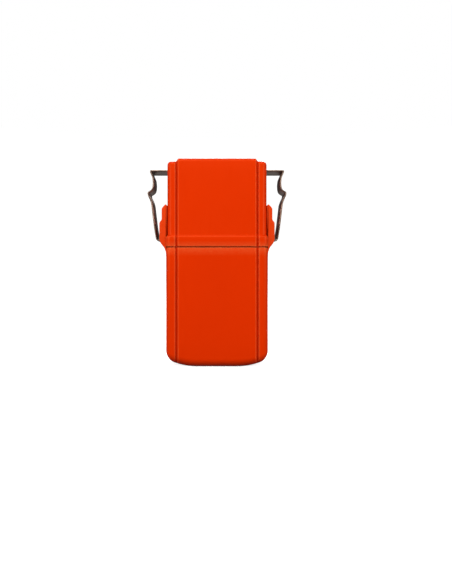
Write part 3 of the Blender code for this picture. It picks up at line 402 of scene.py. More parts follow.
# Control plate and knob of black ABS, spark-eroded: matt, with an even 0.4 mm grain
black_abs = grained("spark_eroded_black_abs", ("1b1b1d", "232325"), (0.45, 0.6), 0.4, 0.03)
# Moulded silicone rubber: soft, dusty black with hardly any gloss
rubber = grained("moulded_silicone", ("1d1d1e", "262627"), (0.7, 0.85), 0.6, 0.02, mottle=6.0)
# Silicone of the seal between body and cap, pigmented a little darker than the case
seal_rubber = grained("pigmented_silicone", ("dc3803", "cc3103"), (0.6, 0.75), 0.6, 0.02, mottle=6.0)
# The same silicone pigmented red, of the test button
red_rubber = grained("moulded_red_silicone", ("a5160f", "931410"), (0.55, 0.7), 0.6, 0.02, mottle=6.0)
# Machine screws, zinc plated over turned steel: bright grey with a faint drift of tone
zinc = grained("zinc_plated_steel", ("b9bcc0", "9fa2a6"), (0.22, 0.38), 0.3, 0.005, 1.0, mottle=2.0)
# Nickel plate over turned brass: a warm white metal
nickel = grained("nickel_plated_brass", ("c9c0ae", "b5ab98"), (0.18, 0.3), 0.3, 0.004, 1.0, mottle=2.0)
# Epoxy glass laminate under green solder mask: glossy, with the weave just showing
laminate = grained("solder_masked_laminate", ("12502b", "0e4324"), (0.25, 0.4), 0.8, 0.02, mottle=4.0)
# Sintered ferrite: dark grey ceramic, ground dull
ferrite = grained("ground_ferrite", ("3a3839", "2c2b2c"), (0.5, 0.7), 0.3, 0.02, mottle=2.0)
# Enamelled copper wire, close wound round the rod: fine rings along Z, 0.3 mm apart
copper = grained("enamelled_copper_wire", ("b4622c", "8e4519"), (0.2, 0.4), 0.3, 0.05, 1.0, (0.02, 0.02, 1))
# Epoxy moulding compound of chips: matt, near black
chip_epoxy = grained("moulded_chip_epoxy", ("1a1a1a", "222222"), (0.5, 0.65), 0.3, 0.01)
# Tinned steel of screening cans and crystal: soft grey metal
tinplate = grained("tinned_steel", ("a9abad", "8f9294"), (0.25, 0.45), 0.5, 0.01, 1.0, mottle=3.0)
# Shrunk PVC sleeve of the capacitors
sleeve = grained("shrunk_pvc_sleeve", ("1d3a6e", "18305c"), (0.3, 0.4), 0.5, 0.01, mottle=3.0)
# Black ABS carrier, moulded smoother than the plate
carrier_abs = grained("moulded_black_abs", ("202022", "28282a"), (0.35, 0.5), 0.5, 0.015)
# Shrunk printed label round each cell: plain dark green film, glossy
cell_film = grained("cell_label_film", ("1f4d3a", "1a4232"), (0.2, 0.3), 1.0, 0.01, mottle=9.0)
# Closed-cell foam of the cap's pad
foam = grained("closed_cell_foam", ("2b2b2b", "363636"), (0.9, 1.0), 0.7, 0.15, mottle=3.0)
# Pressed paper of the loudspeaker cone
cone_paper = grained("pressed_cone_paper", ("262422", "312e2b"), (0.85, 0.95), 0.5, 0.06, mottle=3.0)
# Clear red acrylic of the lamp's pin and lens
red_acrylic, _, _ = finish(
    "moulded_red_acrylic", "d01208", 0.06, IOR=1.49, Transmission_Weight=0.75, Coat_Weight=0.3
)
# White pad-printed ink of the dial's numbers
white_ink, _, _ = finish("pad_printed_white_ink", "ecece6", 0.55)
cloth = woven_cloth()


# Case shells


def smooth(t):
    t = np.clip(t, 0, 1)
    return t * t * (3 - 2 * t)


def section(half, corner, relief):
    """A quarter of the case's section, from its +X side to its +Y face, carried round to a loop.
    The face is y = half depth + relief * (panel rise - groove): the panel rises by a smooth
    step at its edge, and the groove beside it is a notch with a flat floor and round lips."""
    half_x, half_y = half
    side = np.linspace(0.06, 1, 5)[:-1, None] * [0, half_y - corner] + [half_x, 0]
    bend = arc((half_x - corner, half_y - corner), corner, 0, 90, 14)
    edge = min(PANEL_HALF_WIDTH, half_x - corner - 1.1 * GROOVE_WIDTH)
    end = half_x - corner
    x = np.concatenate(
        [
            np.linspace(end, edge + 1.09 * GROOVE_WIDTH, 3)[1:],
            edge + GROOVE_WIDTH * np.linspace(1.05, -0.6, 30),
            np.linspace(edge - 0.7 * GROOVE_WIDTH, BASE_FLAT_HALF, 14),
            np.linspace(BASE_FLAT_HALF, 0, 12)[1:-1],
            [0.3 * MM],
        ]
    )
    across = (x - edge) / GROOVE_WIDTH
    rise = PANEL_PROUD * smooth((0.1 - across) / 0.45)
    notch = GROOVE_DEPTH * np.exp(-(((across - 0.48) / 0.36) ** 4))
    face = np.stack([x, half_y + relief * (rise - notch)], 1)
    quarter = np.concatenate([side, bend, face])
    upper = np.concatenate([quarter, quarter[::-1] * [-1, 1]])
    return np.concatenate([upper, -upper])


def base_bow(x):
    """Height of the bowed base: flat in the middle, then an arc up to each side."""
    out = np.clip(np.abs(x) - BASE_FLAT_HALF, 0, None)
    return BASE_BOW_RADIUS - np.sqrt(BASE_BOW_RADIUS**2 - out**2)


def top_step(x):
    """How far the shoulders lie below the middle of the top: a smooth step at the grooves."""
    return SHOULDER_DROP * smooth((np.abs(x) - PANEL_HALF_WIDTH + 0.7 * MM) / (1.9 * MM))


def ring(half, inset, relief, height):
    """One loop of the case. height is a number, or a function of x."""
    corner = max(CORNER - inset, 0.35 * MM)
    size = (half[0] - inset, max(half[1] - inset, 0.36 * MM))
    outline = section(size, corner, relief)
    x, y = outline[:, 0], outline[:, 1]
    z = height(x) if callable(height) else np.full_like(x, height)
    return np.stack([x, y, z], 1)


def flattened(loop):
    """A loop pressed onto the plane y=0, which closes the surface along a line."""
    return loop * [1, 0, 1]


def fillet(radius, count):
    """(inset, height) pairs of a quarter circle from the flat end to the wall."""
    a = np.linspace(0, np.pi / 2, count)
    return list(zip(radius * (1 - np.sin(a)), radius * (1 - np.cos(a))))


def body_shell():
    """The body's skin: out from the middle of the base, up the wall, in over the rim, up and over
    the collar, down the bore, and in along the floor."""
    rows = []
    for inset in (13.1 * MM, 10.5 * MM, 8 * MM):
        rows.append(ring(BODY_HALF, inset, 0, base_bow))
    for inset, rise in fillet(BASE_FILLET, 14):
        fade = 1 - inset / BASE_FILLET
        rows.append(ring(BODY_HALF, inset, fade, lambda x, rise=rise: base_bow(x) + rise))
    for z in (16, 24, 34, 46, 58, 68):
        rows.append(ring(BODY_HALF, 0, 1, z * MM))
    for inset, drop in reversed(fillet(0.25 * MM, 5)):
        rows.append(ring(BODY_HALF, inset, 1, BODY_RIM - drop))
    rows.append(ring(BODY_HALF, 1.4 * MM, 0, BODY_RIM))
    collar = (COLLAR_HALF_WIDTH, COLLAR_HALF_DEPTH)
    bore = (collar[0] - COLLAR_WALL, collar[1] - COLLAR_WALL)
    grow = CORNER - 1.4 * MM
    collar_full, bore_full = [tuple(h + grow for h in pair) for pair in (collar, bore)]
    for inset, z in ((0, BODY_RIM), (0, COLLAR_TOP - 0.4 * MM), (0.1 * MM, COLLAR_TOP - 0.1 * MM)):
        rows.append(ring(collar_full, grow + inset, 0, z))
    rows.append(ring(collar_full, grow + 0.4 * MM, 0, COLLAR_TOP))
    rows.append(ring(bore_full, grow, 0, COLLAR_TOP))
    rows.append(ring(bore_full, grow, 0, BODY_RIM - WALL))
    for z in (BODY_RIM - 2 * WALL, 30 * MM, 12 * MM):
        rows.append(ring(BODY_HALF, WALL, 0, z))
    for inset in (3 * MM, 7 * MM, 11 * MM):
        rows.append(ring(BODY_HALF, WALL + inset, 0, lambda x: base_bow(x) + WALL))
    rows[0], rows[-1] = flattened(rows[0]), flattened(rows[-1])
    return np.stack(rows)


def cap_shell():
    """The cap's skin: out from the middle of its ceiling, down inside, over the foot and its
    band, up the wall, and in over the stepped top."""
    rows = []
    inner = (CAP_HALF[0] - CAP_WALL, CAP_HALF[1] - CAP_WALL)
    ceiling = CASE_TOP - SHOULDER_DROP - CAP_WALL
    grow = CORNER - 1.2 * MM
    wide = (inner[0] + grow, inner[1] + grow)
    for inset, drop in ((12, 0), (8, 0), (4, 0), (1.5, 0), (0.4, 0.4), (0, 1.5)):
        reach = min(inset * MM, inner[1] - 0.4 * MM)
        rows.append(ring(wide, grow + reach, 0, ceiling - drop * MM))
    rows.append(ring(wide, grow, 0, CAP_FOOT + 0.3 * MM))
    rows.append(ring(wide, grow - 0.3 * MM, 0, CAP_FOOT))
    band = tuple(h + p for h, p in zip(CAP_HALF, BAND_PROUD))
    for inset, rise in fillet(0.25 * MM, 5):
        rows.append(ring(band, inset, 1, CAP_FOOT + rise - FOOT_DROP))
    top = CAP_FOOT + BAND_HEIGHT
    shares = ((1, 4.0), (1, 1.9), (0.96, 1.7), (0.82, 1.45), (0.5, 1.15), (0.18, 0.85), (0.04, 0.6), (0, 0.3))
    for share, below in shares:
        half = tuple(h + p * share for h, p in zip(CAP_HALF, BAND_PROUD))
        rows.append(ring(half, 0, 1, top - below * MM))
    for z in (90, 100, 110, 118):
        rows.append(ring(CAP_HALF, 0, 1, z * MM))
    for inset, drop in reversed(fillet(CAP_FILLET, 12)):
        fade = 1 - inset / CAP_FILLET
        rows.append(ring(CAP_HALF, inset, fade, lambda x, drop=drop: CASE_TOP - top_step(x) - drop))
    for inset in (4 * MM, 7 * MM, 10 * MM, 12.4 * MM):
        rows.append(ring(CAP_HALF, inset, 0, lambda x: CASE_TOP - top_step(x)))
    rows[0], rows[-1] = flattened(rows[0]), flattened(rows[-1])
    return np.stack(rows)


def block(name, low, high):
    """A plain box between two corners, used only to cut."""
    low, high = np.minimum(low, high), np.maximum(low, high)
    outline = [(low[0], low[2]), (high[0], low[2]), (high[0], high[2]), (low[0], high[2])]
    return slab(name, outline, low[1], high[1], orange)


def rounded_box_outline(half, low, high, radius):
    corners = [(half, low), (half, high), (-half, high), (-half, low)]
    return softened(corners, radius, 10, closed=True)


def paint_edges(piece):
    """Stores how sharply the surface turns at each vertex, from the mean angle between its
    normal and its neighbours': out in "edge", so that rims look rubbed and take a painted
    highlight, and in in "nook", so that grooves take painted shade."""
    mesh = piece.data
    count = len(mesh.vertices)
    normals = np.empty(count * 3)
    mesh.vertices.foreach_get("normal", normals)
    normals = normals.reshape(-1, 3)
    places = np.empty(count * 3)
    mesh.vertices.foreach_get("co", places)
    places = places.reshape(-1, 3)
    edges = np.empty(len(mesh.edges) * 2, int)
    mesh.edges.foreach_get("vertices", edges)
    a, b = edges.reshape(-1, 2).T
    run = places[b] - places[a]
    length = np.linalg.norm(run, axis=1) + 1e-9
    bend = np.einsum("ij,ij->i", normals[b] - normals[a], run) / length**2
    total, seen = np.zeros(count), np.zeros(count)
    for end in (a, b):
        np.add.at(total, end, np.where(length < 2.5 * MM, bend, 0))
        np.add.at(seen, end, 1)
    turn = total / np.maximum(seen, 1)
    for name, value in (("edge", (turn - 250) / 1500), ("nook", (-turn - 120) / 700)):
        layer = mesh.attributes.new(name, "FLOAT", "POINT")
        layer.data.foreach_set("value", np.clip(value, 0, 1))


def build_case_body():
    """The body's shell, cut for the control plate's recess and window."""
    shell = grid_piece("case_body_shell", body_shell(), orange)
    recess = rounded_box_outline(
        PLATE_HALF_WIDTH + 0.3 * MM, PLATE_BOTTOM - 0.3 * MM, PLATE_TOP + 0.3 * MM, 3.3 * MM
    )
    floor = BODY_FACE - 1.0 * MM
    window = rounded_box_outline(16 * MM, PLATE_BOTTOM + 1.8 * MM, PLATE_TOP - 1.8 * MM, 1 * MM)
    wide = rounded_box_outline(21.4 * MM, PLATE_BOTTOM + 7.8 * MM, PLATE_TOP - 7.8 * MM, 1 * MM)
    cut_by(
        shell,
        [
            slab("recess", recess, floor, BODY_FACE + 2 * MM, orange),
            slab("window", window, 9 * MM, BODY_FACE + 1 * MM, orange),
            slab("wide_window", wide, 9.1 * MM, BODY_FACE + 1.1 * MM, orange),
        ],
    )
    paint_edges(shell)
    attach(shell, "case")
    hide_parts("case_body")


def ear_outline(side):
    """An ear in X and Z: it flares out of the body's side, stands wide beside the pin, steps in,
    and ends in a sloped head."""
    inner = EAR_INNER
    points = [
        (BODY_HALF[0] - 1.5 * MM, BODY_RIM - 7 * MM),
        (BODY_HALF[0] - 0.1 * MM, BODY_RIM - 6 * MM),
        (BODY_HALF[0] + 0.15 * MM, BODY_RIM - 2.5 * MM),
        (BODY_HALF[0] + 1.1 * MM, BODY_RIM),
        (EAR_OUT - 0.9 * MM, BODY_RIM + 2.6 * MM),
        (EAR_OUT, BODY_RIM + 4.8 * MM),
        (EAR_OUT, BODY_RIM + 15.6 * MM),
        (EAR_OUT - 1.4 * MM, BODY_RIM + 17 * MM),
        (EAR_OUT - 1.4 * MM, EAR_TOP - 2.6 * MM),
        (inner + 0.8 * MM, EAR_TOP),
        (inner, EAR_TOP - 0.6 * MM),
        (inner, BODY_RIM - 0.3 * MM),
        (BODY_HALF[0] - 1.5 * MM, BODY_RIM - 0.8 * MM),
    ]
    return softened(np.array(points) * [side, 1], 0.9 * MM, 6, closed=True)


def build_ears():
    """The two ears: each is its outline carried across, with round rims and a pocket between its
    two cheeks for the latch's knuckle."""
    half_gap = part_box("latch_right")[1].y + 0.3 * MM
    for side, name in ((-1, "left"), (1, "right")):
        ear = slab(f"ear_{name}", ear_outline(side), -EAR_HALF_DEPTH, EAR_HALF_DEPTH, orange, 0.5 * MM)
        inner, foot = EAR_INNER + 1.2 * MM, PIVOT[1] - 3.6 * MM
        head = BODY_RIM + 15.6 * MM
        pocket = [
            (inner + 0.8 * MM, foot),
            (inner + 9 * MM, foot - 8 * MM),
            (inner + 9 * MM, head),
            (inner, head),
            (inner, foot + 0.8 * MM),
        ]
        pocket_piece = slab(f"pocket_{name}", np.array(pocket) * [side, 1], -half_gap, half_gap, orange)
        cut_by(ear, [pocket_piece])
        bevel = ear.modifiers.new("rounded rims", "BEVEL")
        bevel.width, bevel.segments, bevel.limit_method = 0.25 * MM, 3, "ANGLE"
        bevel.angle_limit = math.radians(50)
        applied(ear)
        paint_edges(ear)
        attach(ear, "case")


def build_cap():
    """The cap's shell, cut for the latches' tongues and for the ears beside its band."""
    shell = grid_piece("case_cap_shell", cap_shell(), orange)
    slot_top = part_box("latch_right")[1].z + 0.3 * MM
    reach = EAR_HALF_DEPTH + 0.3 * MM
    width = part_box("latch_right")[1].y + 0.6 * MM
    cutters = []
    for side in (-1, 1):
        out = side * (CAP_HALF[0] + 4 * MM)
        notch_low = (side * CAP_HALF[0], -reach, CAP_FOOT - 5 * MM)
        cutters.append(block(f"notch_{side}", notch_low, (out, reach, CAP_FOOT + BAND_HEIGHT + 0.5 * MM)))
        slot_low = (side * (CAP_HALF[0] - 1.3 * MM), -width, slot_top - 2.0 * MM)
        cutters.append(block(f"slot_{side}", slot_low, (out, width, slot_top)))
    cut_by(shell, cutters)
    paint_edges(shell)
    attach(shell, "cap")
    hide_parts("case_cap")


# Latches


def latch_line():
    """The strip's middle line in X and Z from the pin: a knuckle rolled round the pin, a leaning
    arm, a lug folded out for the finger, a scoop, and a tongue folded in over the top."""
    radius = PIN_RADIUS + LATCH_THICKNESS / 2 + 0.1 * MM
    knuckle = arc((0, 0), radius, 75, 300, 40)
    tip = CAP_HALF[0] - 1.0 * MM - PIVOT[0]
    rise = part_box("latch_right")[1].z - LATCH_THICKNESS / 2 - PIVOT[1]
    arm = [(1.5, -1.3), (2.3, -0.4), (2.6, 1.2), (3.55, 6.9), (4.75, 16.9), (5.3, 21.7), (6.2, 24.3)]
    lug = [(7.35, 26.6), (7.6, 28.35), (6.4, 28.9), (5.0, 30.0), (4.45, 31.6), (4.25, 34.4), (4.6, 37.8)]
    tongue = np.array([(6.35 * MM, rise), (4.0 * MM, rise), (tip, rise)])
    bent = np.concatenate([np.array(arm + lug) * MM, tongue])
    rest = softened(bent, 1.0 * MM, 7)
    return np.concatenate([knuckle, rest])


def strip_surface(line, side):
    """A strip carried along a line. Its section is two flat faces joined by a half circle at
    each edge, whose radius is three quarters of the half thickness, so that the cut edges look
    slightly rolled."""
    half_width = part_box("latch_right")[1].y
    ahead = np.gradient(line, axis=0)
    ahead /= np.linalg.norm(ahead, axis=1, keepdims=True)
    normal = np.stack([ahead[:, 1], -ahead[:, 0]], 1)
    half_thick = LATCH_THICKNESS / 2
    rim = arc((0, 0), half_thick * 0.75, -90, 90, 8)
    right = rim * [1, 1.333] + [half_width - half_thick * 0.75, 0]
    across = np.concatenate([right, -right])
    offset = across[None, :, 1, None] * normal[:, None, :]
    flat = line[:, None, :] + offset
    y = np.broadcast_to(across[None, :, 0], flat.shape[:2])
    points = np.stack([side * (PIVOT[0] + flat[..., 0]), y, PIVOT[1] + flat[..., 1]], -1)
    ends = [points[i].mean(0) + (points[i] - points[i].mean(0)) * [0, 0.9, 0] for i in (0, -1)]
    return np.concatenate([ends[0][None], points, ends[1][None]])


def build_latches():
    for side, name in ((-1, "left"), (1, "right")):
        points = strip_surface(latch_line(), side)
        latch = grid_piece(f"latch_strip_{name}", points, strip_steel, sharp=60)
        bm = bmesh.new()
        bm.from_mesh(latch.data)
        bmesh.ops.holes_fill(bm, edges=[e for e in bm.edges if e.is_boundary])
        bmesh.ops.recalc_face_normals(bm, faces=bm.faces)
        bm.to_mesh(latch.data)
        bm.free()
        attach(latch, f"latch_{name}")
        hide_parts(f"latch_{name}")


# Controls on the back


def middle(name):
    low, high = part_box(name)
    return (low + high) / 2


def screw_head(radius, height):
    """A pan head: height * (1 - (r/R)^4) over a polar grid, less a cross recess whose arms are
    smooth slots 0.55 mm wide that fade towards the rim."""
    r = radius * np.linspace(1, 0, 30)[:, None]
    a = np.linspace(0, 2 * np.pi, 72, endpoint=False)[None]
    x, z = r * np.cos(a), r * np.sin(a)
    near, far = np.minimum(np.abs(x), np.abs(z)), np.maximum(np.abs(x), np.abs(z))
    arm = smooth((0.36 * MM - near) / (0.14 * MM)) * smooth((0.72 * radius - far) / (0.2 * radius))
    dome = height * (0.45 + 0.55 * (1 - (r / radius) ** 4))
    y = dome - 0.62 * height * arm
    return x, np.broadcast_to(y, x.shape), z


def build_screws(names, towards, body):
    """Screws with cross-recessed pan heads. towards is the axis that the head faces."""
    for name in names:
        low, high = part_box(name)
        centre = (low + high) / 2
        along = 1 if towards == "+Y" else 2
        radius = (high.x - low.x) / 2
        head = 1.0 * MM
        shank = 1.0 * MM
        x, y, z = screw_head(radius, head)
        length = (high[along] - low[along]) - head
        stem = [(0, 0), (shank * 0.6, 0), (shank, 0.5 * MM), (shank, length), (radius, length)]
        stem = np.array(stem)
        angle = np.linspace(0, 2 * np.pi, 72, endpoint=False)[None]
        lower = [stem[:, :1] * np.cos(angle), np.repeat(stem[:, 1:], 72, 1), stem[:, :1] * np.sin(angle)]
        rows = [np.concatenate([a, b]) for a, b in zip(lower, (x, y + length, z))]
        points = np.stack(rows, -1) + [centre.x, low.y if along == 1 else 0, 0]
        if along == 1:
            points = points + [0, 0, centre.z]
        else:
            points = points[..., [0, 2, 1]] * [1, -1, 1] + [0, centre.y, low.z]
        screw = grid_piece(f"{name}_head", points, zinc)
        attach(screw, body)
        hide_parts(name)


def plate_holes():
    """(x, z, radius) of every hole in the control plate."""
    names = ("test_button", "lamp_lens", "earphone_socket", "knob_disc")
    button, lens, socket, knob = [middle(name) for name in names]
    holes = [
        (button.x, button.z, 3.8 * MM),
        (lens.x, lens.z, 2.8 * MM),
        (socket.x, socket.z, 3.8 * MM),
        (knob.x, knob.z, 3.7 * MM),
    ]
    speaker = middle("loudspeaker_basket")
    holes.append((speaker.x, speaker.z, 1.0 * MM))
    for ring_number, count in ((1, 6), (2, 12)):
        for a in np.linspace(0, 2 * np.pi, count, endpoint=False):
            reach = ring_number * 3.8 * MM
            holes.append((speaker.x + reach * math.cos(a), speaker.z + reach * math.sin(a), 1.0 * MM))
    return holes


def build_plate():
    """The control plate: a flat closed curve with its holes as inner curves, given thickness
    and a small round rim, then made a mesh."""
    curve = bpy.data.curves.new("plate", "CURVE")
    curve.dimensions, curve.fill_mode = "2D", "BOTH"
    rim = 0.3 * MM
    thickness = 1.8 * MM
    curve.extrude, curve.bevel_depth, curve.bevel_resolution = thickness / 2 - rim, rim, 3
    outlines = [rounded_box_outline(PLATE_HALF_WIDTH - rim, PLATE_BOTTOM + rim, PLATE_TOP - rim, 3 * MM)]
    outlines += [arc((x, z), r + rim * 0.6, 0, 360, 33)[:-1] for x, z, r in plate_holes()]
    for outline in outlines:
        spline = curve.splines.new("POLY")
        spline.points.add(len(outline) - 1)
        flat = np.zeros((len(outline), 4))
        flat[:, :2] = outline
        flat[:, 3] = 1
        spline.points.foreach_set("co", flat.ravel())
        spline.use_cyclic_u = True
    shape = bpy.data.objects.new("plate_curve", curve)
    bpy.context.scene.collection.objects.link(shape)
    graph = bpy.context.evaluated_depsgraph_get()
    mesh = bpy.data.meshes.new_from_object(shape.evaluated_get(graph))
    bpy.data.objects.remove(shape)
    upright = Matrix.Rotation(math.pi / 2, 4, "X")
    mesh.transform(Matrix.Translation((0, PLATE_OUTER - thickness / 2, 0)) @ upright)
    bm = bmesh.new()
    bm.from_mesh(mesh)
    bmesh.ops.remove_doubles(bm, verts=bm.verts, dist=2e-6)
    bmesh.ops.recalc_face_normals(bm, faces=bm.faces)
    bm.to_mesh(mesh)
    bm.free()
    mesh.shade_smooth()
    mesh.set_sharp_from_angle(angle=math.radians(10))
    mesh.materials.clear()
    mesh.materials.append(black_abs)
    plate = bpy.data.objects.new("control_plate_moulding", mesh)
    bpy.context.scene.collection.objects.link(plate)
    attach(plate, "case")
    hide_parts("control_plate")


DIAL_START = math.radians(-60)
DIAL_STEP = math.radians(30)


def build_dial_numbers():
    """Eight numbers round the knob, 0 to 7, printed where the pointer stops: 30 degrees apart."""
    centre = middle("knob_disc")
    reach = 13.9 * MM
    meshes = []
    for number in range(8):
        text = bpy.data.curves.new(f"number_{number}", "FONT")
        text.body, text.size, text.extrude = str(number), 3.0 * MM, 0.015 * MM
        text.align_x, text.align_y = "CENTER", "CENTER"
        shape = bpy.data.objects.new(f"number_{number}", text)
        bpy.context.scene.collection.objects.link(shape)
        mesh = bpy.data.meshes.new_from_object(shape.evaluated_get(bpy.context.evaluated_depsgraph_get()))
        bpy.data.objects.remove(shape)
        turn = DIAL_START + DIAL_STEP * number
        x, z = centre.x + reach * math.sin(turn), centre.z + reach * math.cos(turn)
        place = (x, PLATE_OUTER + 0.02 * MM, z)
        facing_back = Matrix(((-1, 0, 0), (0, 0, 1), (0, 1, 0))).to_4x4()
        mesh.transform(Matrix.Translation(place) @ facing_back)
        meshes.append(mesh)
    bm = bmesh.new()
    for mesh in meshes:
        bm.from_mesh(mesh)
    bmesh.ops.remove_doubles(bm, verts=bm.verts, dist=2e-6)
    bmesh.ops.recalc_face_normals(bm, faces=bm.faces)
    joined = bpy.data.meshes.new("dial_numbers")
    bm.to_mesh(joined)
    bm.free()
    joined.materials.append(white_ink)
    numbers = bpy.data.objects.new("dial_numbers", joined)
    bpy.context.scene.collection.objects.link(numbers)
    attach(numbers, "case")


def build_knob():
    """The knob: a skirt, a fluted grip, and a round shoulder down to the disc's seat. A flute is
    a dip of 0.7 mm, cos(14 a / 2) to the 6th power, that fades out at the rim."""
    low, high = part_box("selector_knob")
    disc_low, disc_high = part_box("knob_disc")
    centre = ((low.x + high.x) / 2, low.y, (low.z + high.z) / 2)
    radius, height = 11.13 * MM, high.y - low.y
    seat, seat_radius = disc_low.y - low.y - 0.3 * MM, (disc_high.x - disc_low.x) / 2 + 0.3 * MM
    outer = [(radius, 0), (radius, 1.2 * MM), (radius - 0.5 * MM, 1.8 * MM), (radius - 0.8 * MM, height)]
    profile = softened(
        [
            (2.3 * MM, 2.7 * MM),
            (6.6 * MM, 2.7 * MM),
            (6.6 * MM, 0),
            *outer,
            (seat_radius, height),
            (seat_radius, seat),
            (0, seat),
        ],
        0.8 * MM,
        7,
    )
    profile = np.concatenate([[(2.3 * MM, seat - 1 * MM), (0, seat - 1 * MM)][::-1], profile])

    def fluted(radii, heights, angle):
        dip = 0.7 * MM * np.abs(np.cos(7 * angle)) ** 6
        along = smooth((heights - 1.4 * MM) / (0.8 * MM)) * smooth((height - heights) / (1.2 * MM))
        grip = smooth((radii - 9 * MM) / (1 * MM))
        return radii - dip * along * grip

    knob = turned("selector_knob_moulding", profile, centre, black_abs, 224, fluted)
    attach(knob, "selector")
    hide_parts("selector_knob")
    disc_radius, depth = (disc_high.x - disc_low.x) / 2, disc_high.y - disc_low.y
    rim = softened([(0, 0), (disc_radius, 0), (disc_radius, depth), (0, depth)], 0.25 * MM, 5)
    ink = marked_disc((centre[0], disc_low.y, centre[2]), DIAL_START)
    disc = turned("pointer_disc", rim, (centre[0], disc_low.y, centre[2]), ink)
    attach(disc, "selector")
    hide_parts("knob_disc")


def build_button_and_plug():
    """The button: a domed silicone head over its flange and stem. The plug: a stem and a head with
    a grip groove."""
    low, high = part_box("test_button")
    reach, rim = high.y - low.y, PLATE_OUTER - low.y
    flange_foot = rim - 1.8 * MM - 0.3 * MM - 0.8 * MM
    profile = softened(
        [
            (0, 0),
            (1.4 * MM, 0),
            (1.4 * MM, flange_foot),
            (4.3 * MM, flange_foot),
            (4.3 * MM, flange_foot + 0.8 * MM),
            (3.5 * MM, flange_foot + 0.8 * MM),
            (3.5 * MM, reach - 0.5 * MM),
            (2.6 * MM, reach - 0.1 * MM),
            (1.6 * MM, reach - 0.35 * MM),
            (0, reach - 0.5 * MM),
        ],
        0.5 * MM,
    )
    centre = ((low.x + high.x) / 2, low.y, (low.z + high.z) / 2)
    button = turned("test_button_moulding", profile, centre, red_rubber)
    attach(button, "test_button")
    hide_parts("test_button")
    low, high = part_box("socket_plug")
    head = (high.x - low.x) / 2
    reach = high.y - low.y
    mouth = reach - 3 * MM
    profile = softened(
        [
            (0, 0),
            (1.65 * MM, 0),
            (1.65 * MM, mouth),
            (head - 0.4 * MM, mouth),
            (head, mouth + 0.6 * MM),
            (head, mouth + 1.0 * MM),
            (head - 0.7 * MM, mouth + 1.5 * MM),
            (head, mouth + 2.0 * MM),
            (head - 0.1 * MM, mouth + 2.5 * MM),
            (head - 1.2 * MM, reach),
            (0, reach),
        ],
        0.4 * MM,
    )
    centre = ((low.x + high.x) / 2, low.y, (low.z + high.z) / 2)
    plug = turned("socket_plug_moulding", profile, centre, rubber)
    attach(plug, "socket_plug")
    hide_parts("socket_plug")


def build_lens():
    """The lamp's pin with a domed end: y = rise * sqrt(1 - (r/R)^2) past its shoulder."""
    low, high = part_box("lamp_lens")
    radius, reach = (high.x - low.x) / 2, high.y - low.y
    r = radius * np.cos(np.linspace(0, np.pi / 2, 14))
    dome = np.stack([r, reach - 1.4 * MM + 1.4 * MM * np.sqrt(1 - (r / radius) ** 2)], 1)
    profile = np.concatenate([[(0, 0), (radius - 0.3 * MM, 0), (radius, 0.3 * MM)], dome])
    centre = ((low.x + high.x) / 2, low.y, (low.z + high.z) / 2)
    lens = turned("lamp_lens_dome", profile, centre, red_acrylic)
    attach(lens, "case")
    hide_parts("lamp_lens")


# Cells and cap contacts, which show when the cap is off


def build_cells():
    """Each cell: a wrapped can with rolled rims, a bare end and a nub."""
    for name in ("left", "right"):
        low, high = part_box(f"cell_{name}")
        radius, length = (high.x - low.x) / 2, high.z - low.z
        can = length - 1.3 * MM
        bare, end = radius - 1.4 * MM, can - 0.15 * MM
        label = [(bare, 0.15 * MM), (radius, 0.15 * MM), (radius, can), (bare, can)]
        wrap = softened(label, 0.6 * MM, 6)
        shiny = softened(
            [
                (0, 0),
                (radius - 1.2 * MM, 0),
                (radius - 0.8 * MM, 0.4 * MM),
                (radius - 0.8 * MM, can - 0.4 * MM),
                (radius - 1.2 * MM, end),
                (2.7 * MM, end),
                (2.7 * MM, length),
                (0, length),
            ],
            0.3 * MM,
            5,
        )
        closed_wrap = np.concatenate([wrap, wrap[::-1] - [0.12 * MM, 0] * np.array([[1, 0]])])
        closed_wrap = np.concatenate([closed_wrap, closed_wrap[:1]])
        centre = Vector(((low.x + high.x) / 2, 0, low.z))
        if name == "right":
            flip = [1, -1]
            shiny, closed_wrap = [p * flip + [0, length] for p in (shiny, closed_wrap)]
        for part, profile, material in (("can", shiny, tinplate), ("label", closed_wrap, cell_film)):
            spun = turned(f"cell_{part}_{name}", profile, (0, 0, 0), material, 72)
            spun.data.transform(Matrix.Translation(centre) @ Matrix.Rotation(math.pi / 2, 4, "X"))
            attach(spun, "case")
            if part == "can":
                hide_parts(f"cell_{name}")


CAD_FINISHES = {
    rubber: ("rod_clip_lower", "rod_clip_upper"),
    seal_rubber: ("seam_seal",),
    zinc: ("hinge_pin_left", "hinge_pin_right", "selector_shaft", "earphone_socket"),
    nickel: (
        "bushing_nut",
        "cell_contact_left",
        "cell_contact_right",
        "cell_spring_left",
        "cell_spring_right",
        "cell_bridge_contact",
    ),
    carrier_abs: ("cell_carrier", "selector_switch", "test_switch"),
    laminate: ("circuit_board",),
    ferrite: ("ferrite_rod", "loudspeaker_magnet"),
    copper: ("aerial_winding",),
    chip_epoxy: ("receiver_chip", "timing_chip"),
    tinplate: ("filter_can", "tuning_can", "crystal", "loudspeaker_basket"),
    sleeve: ("capacitor_1", "capacitor_2"),
    foam: ("cap_pad",),
    cone_paper: ("loudspeaker_cone",),
    cloth: ("grille_cloth",),
    red_acrylic: ("signal_lamp",),
}


def finish_cad_nodes():
    for material, names in CAD_FINISHES.items():
        for name in names:
            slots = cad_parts[name].material_slots
            slots[0].material = material


# Stage


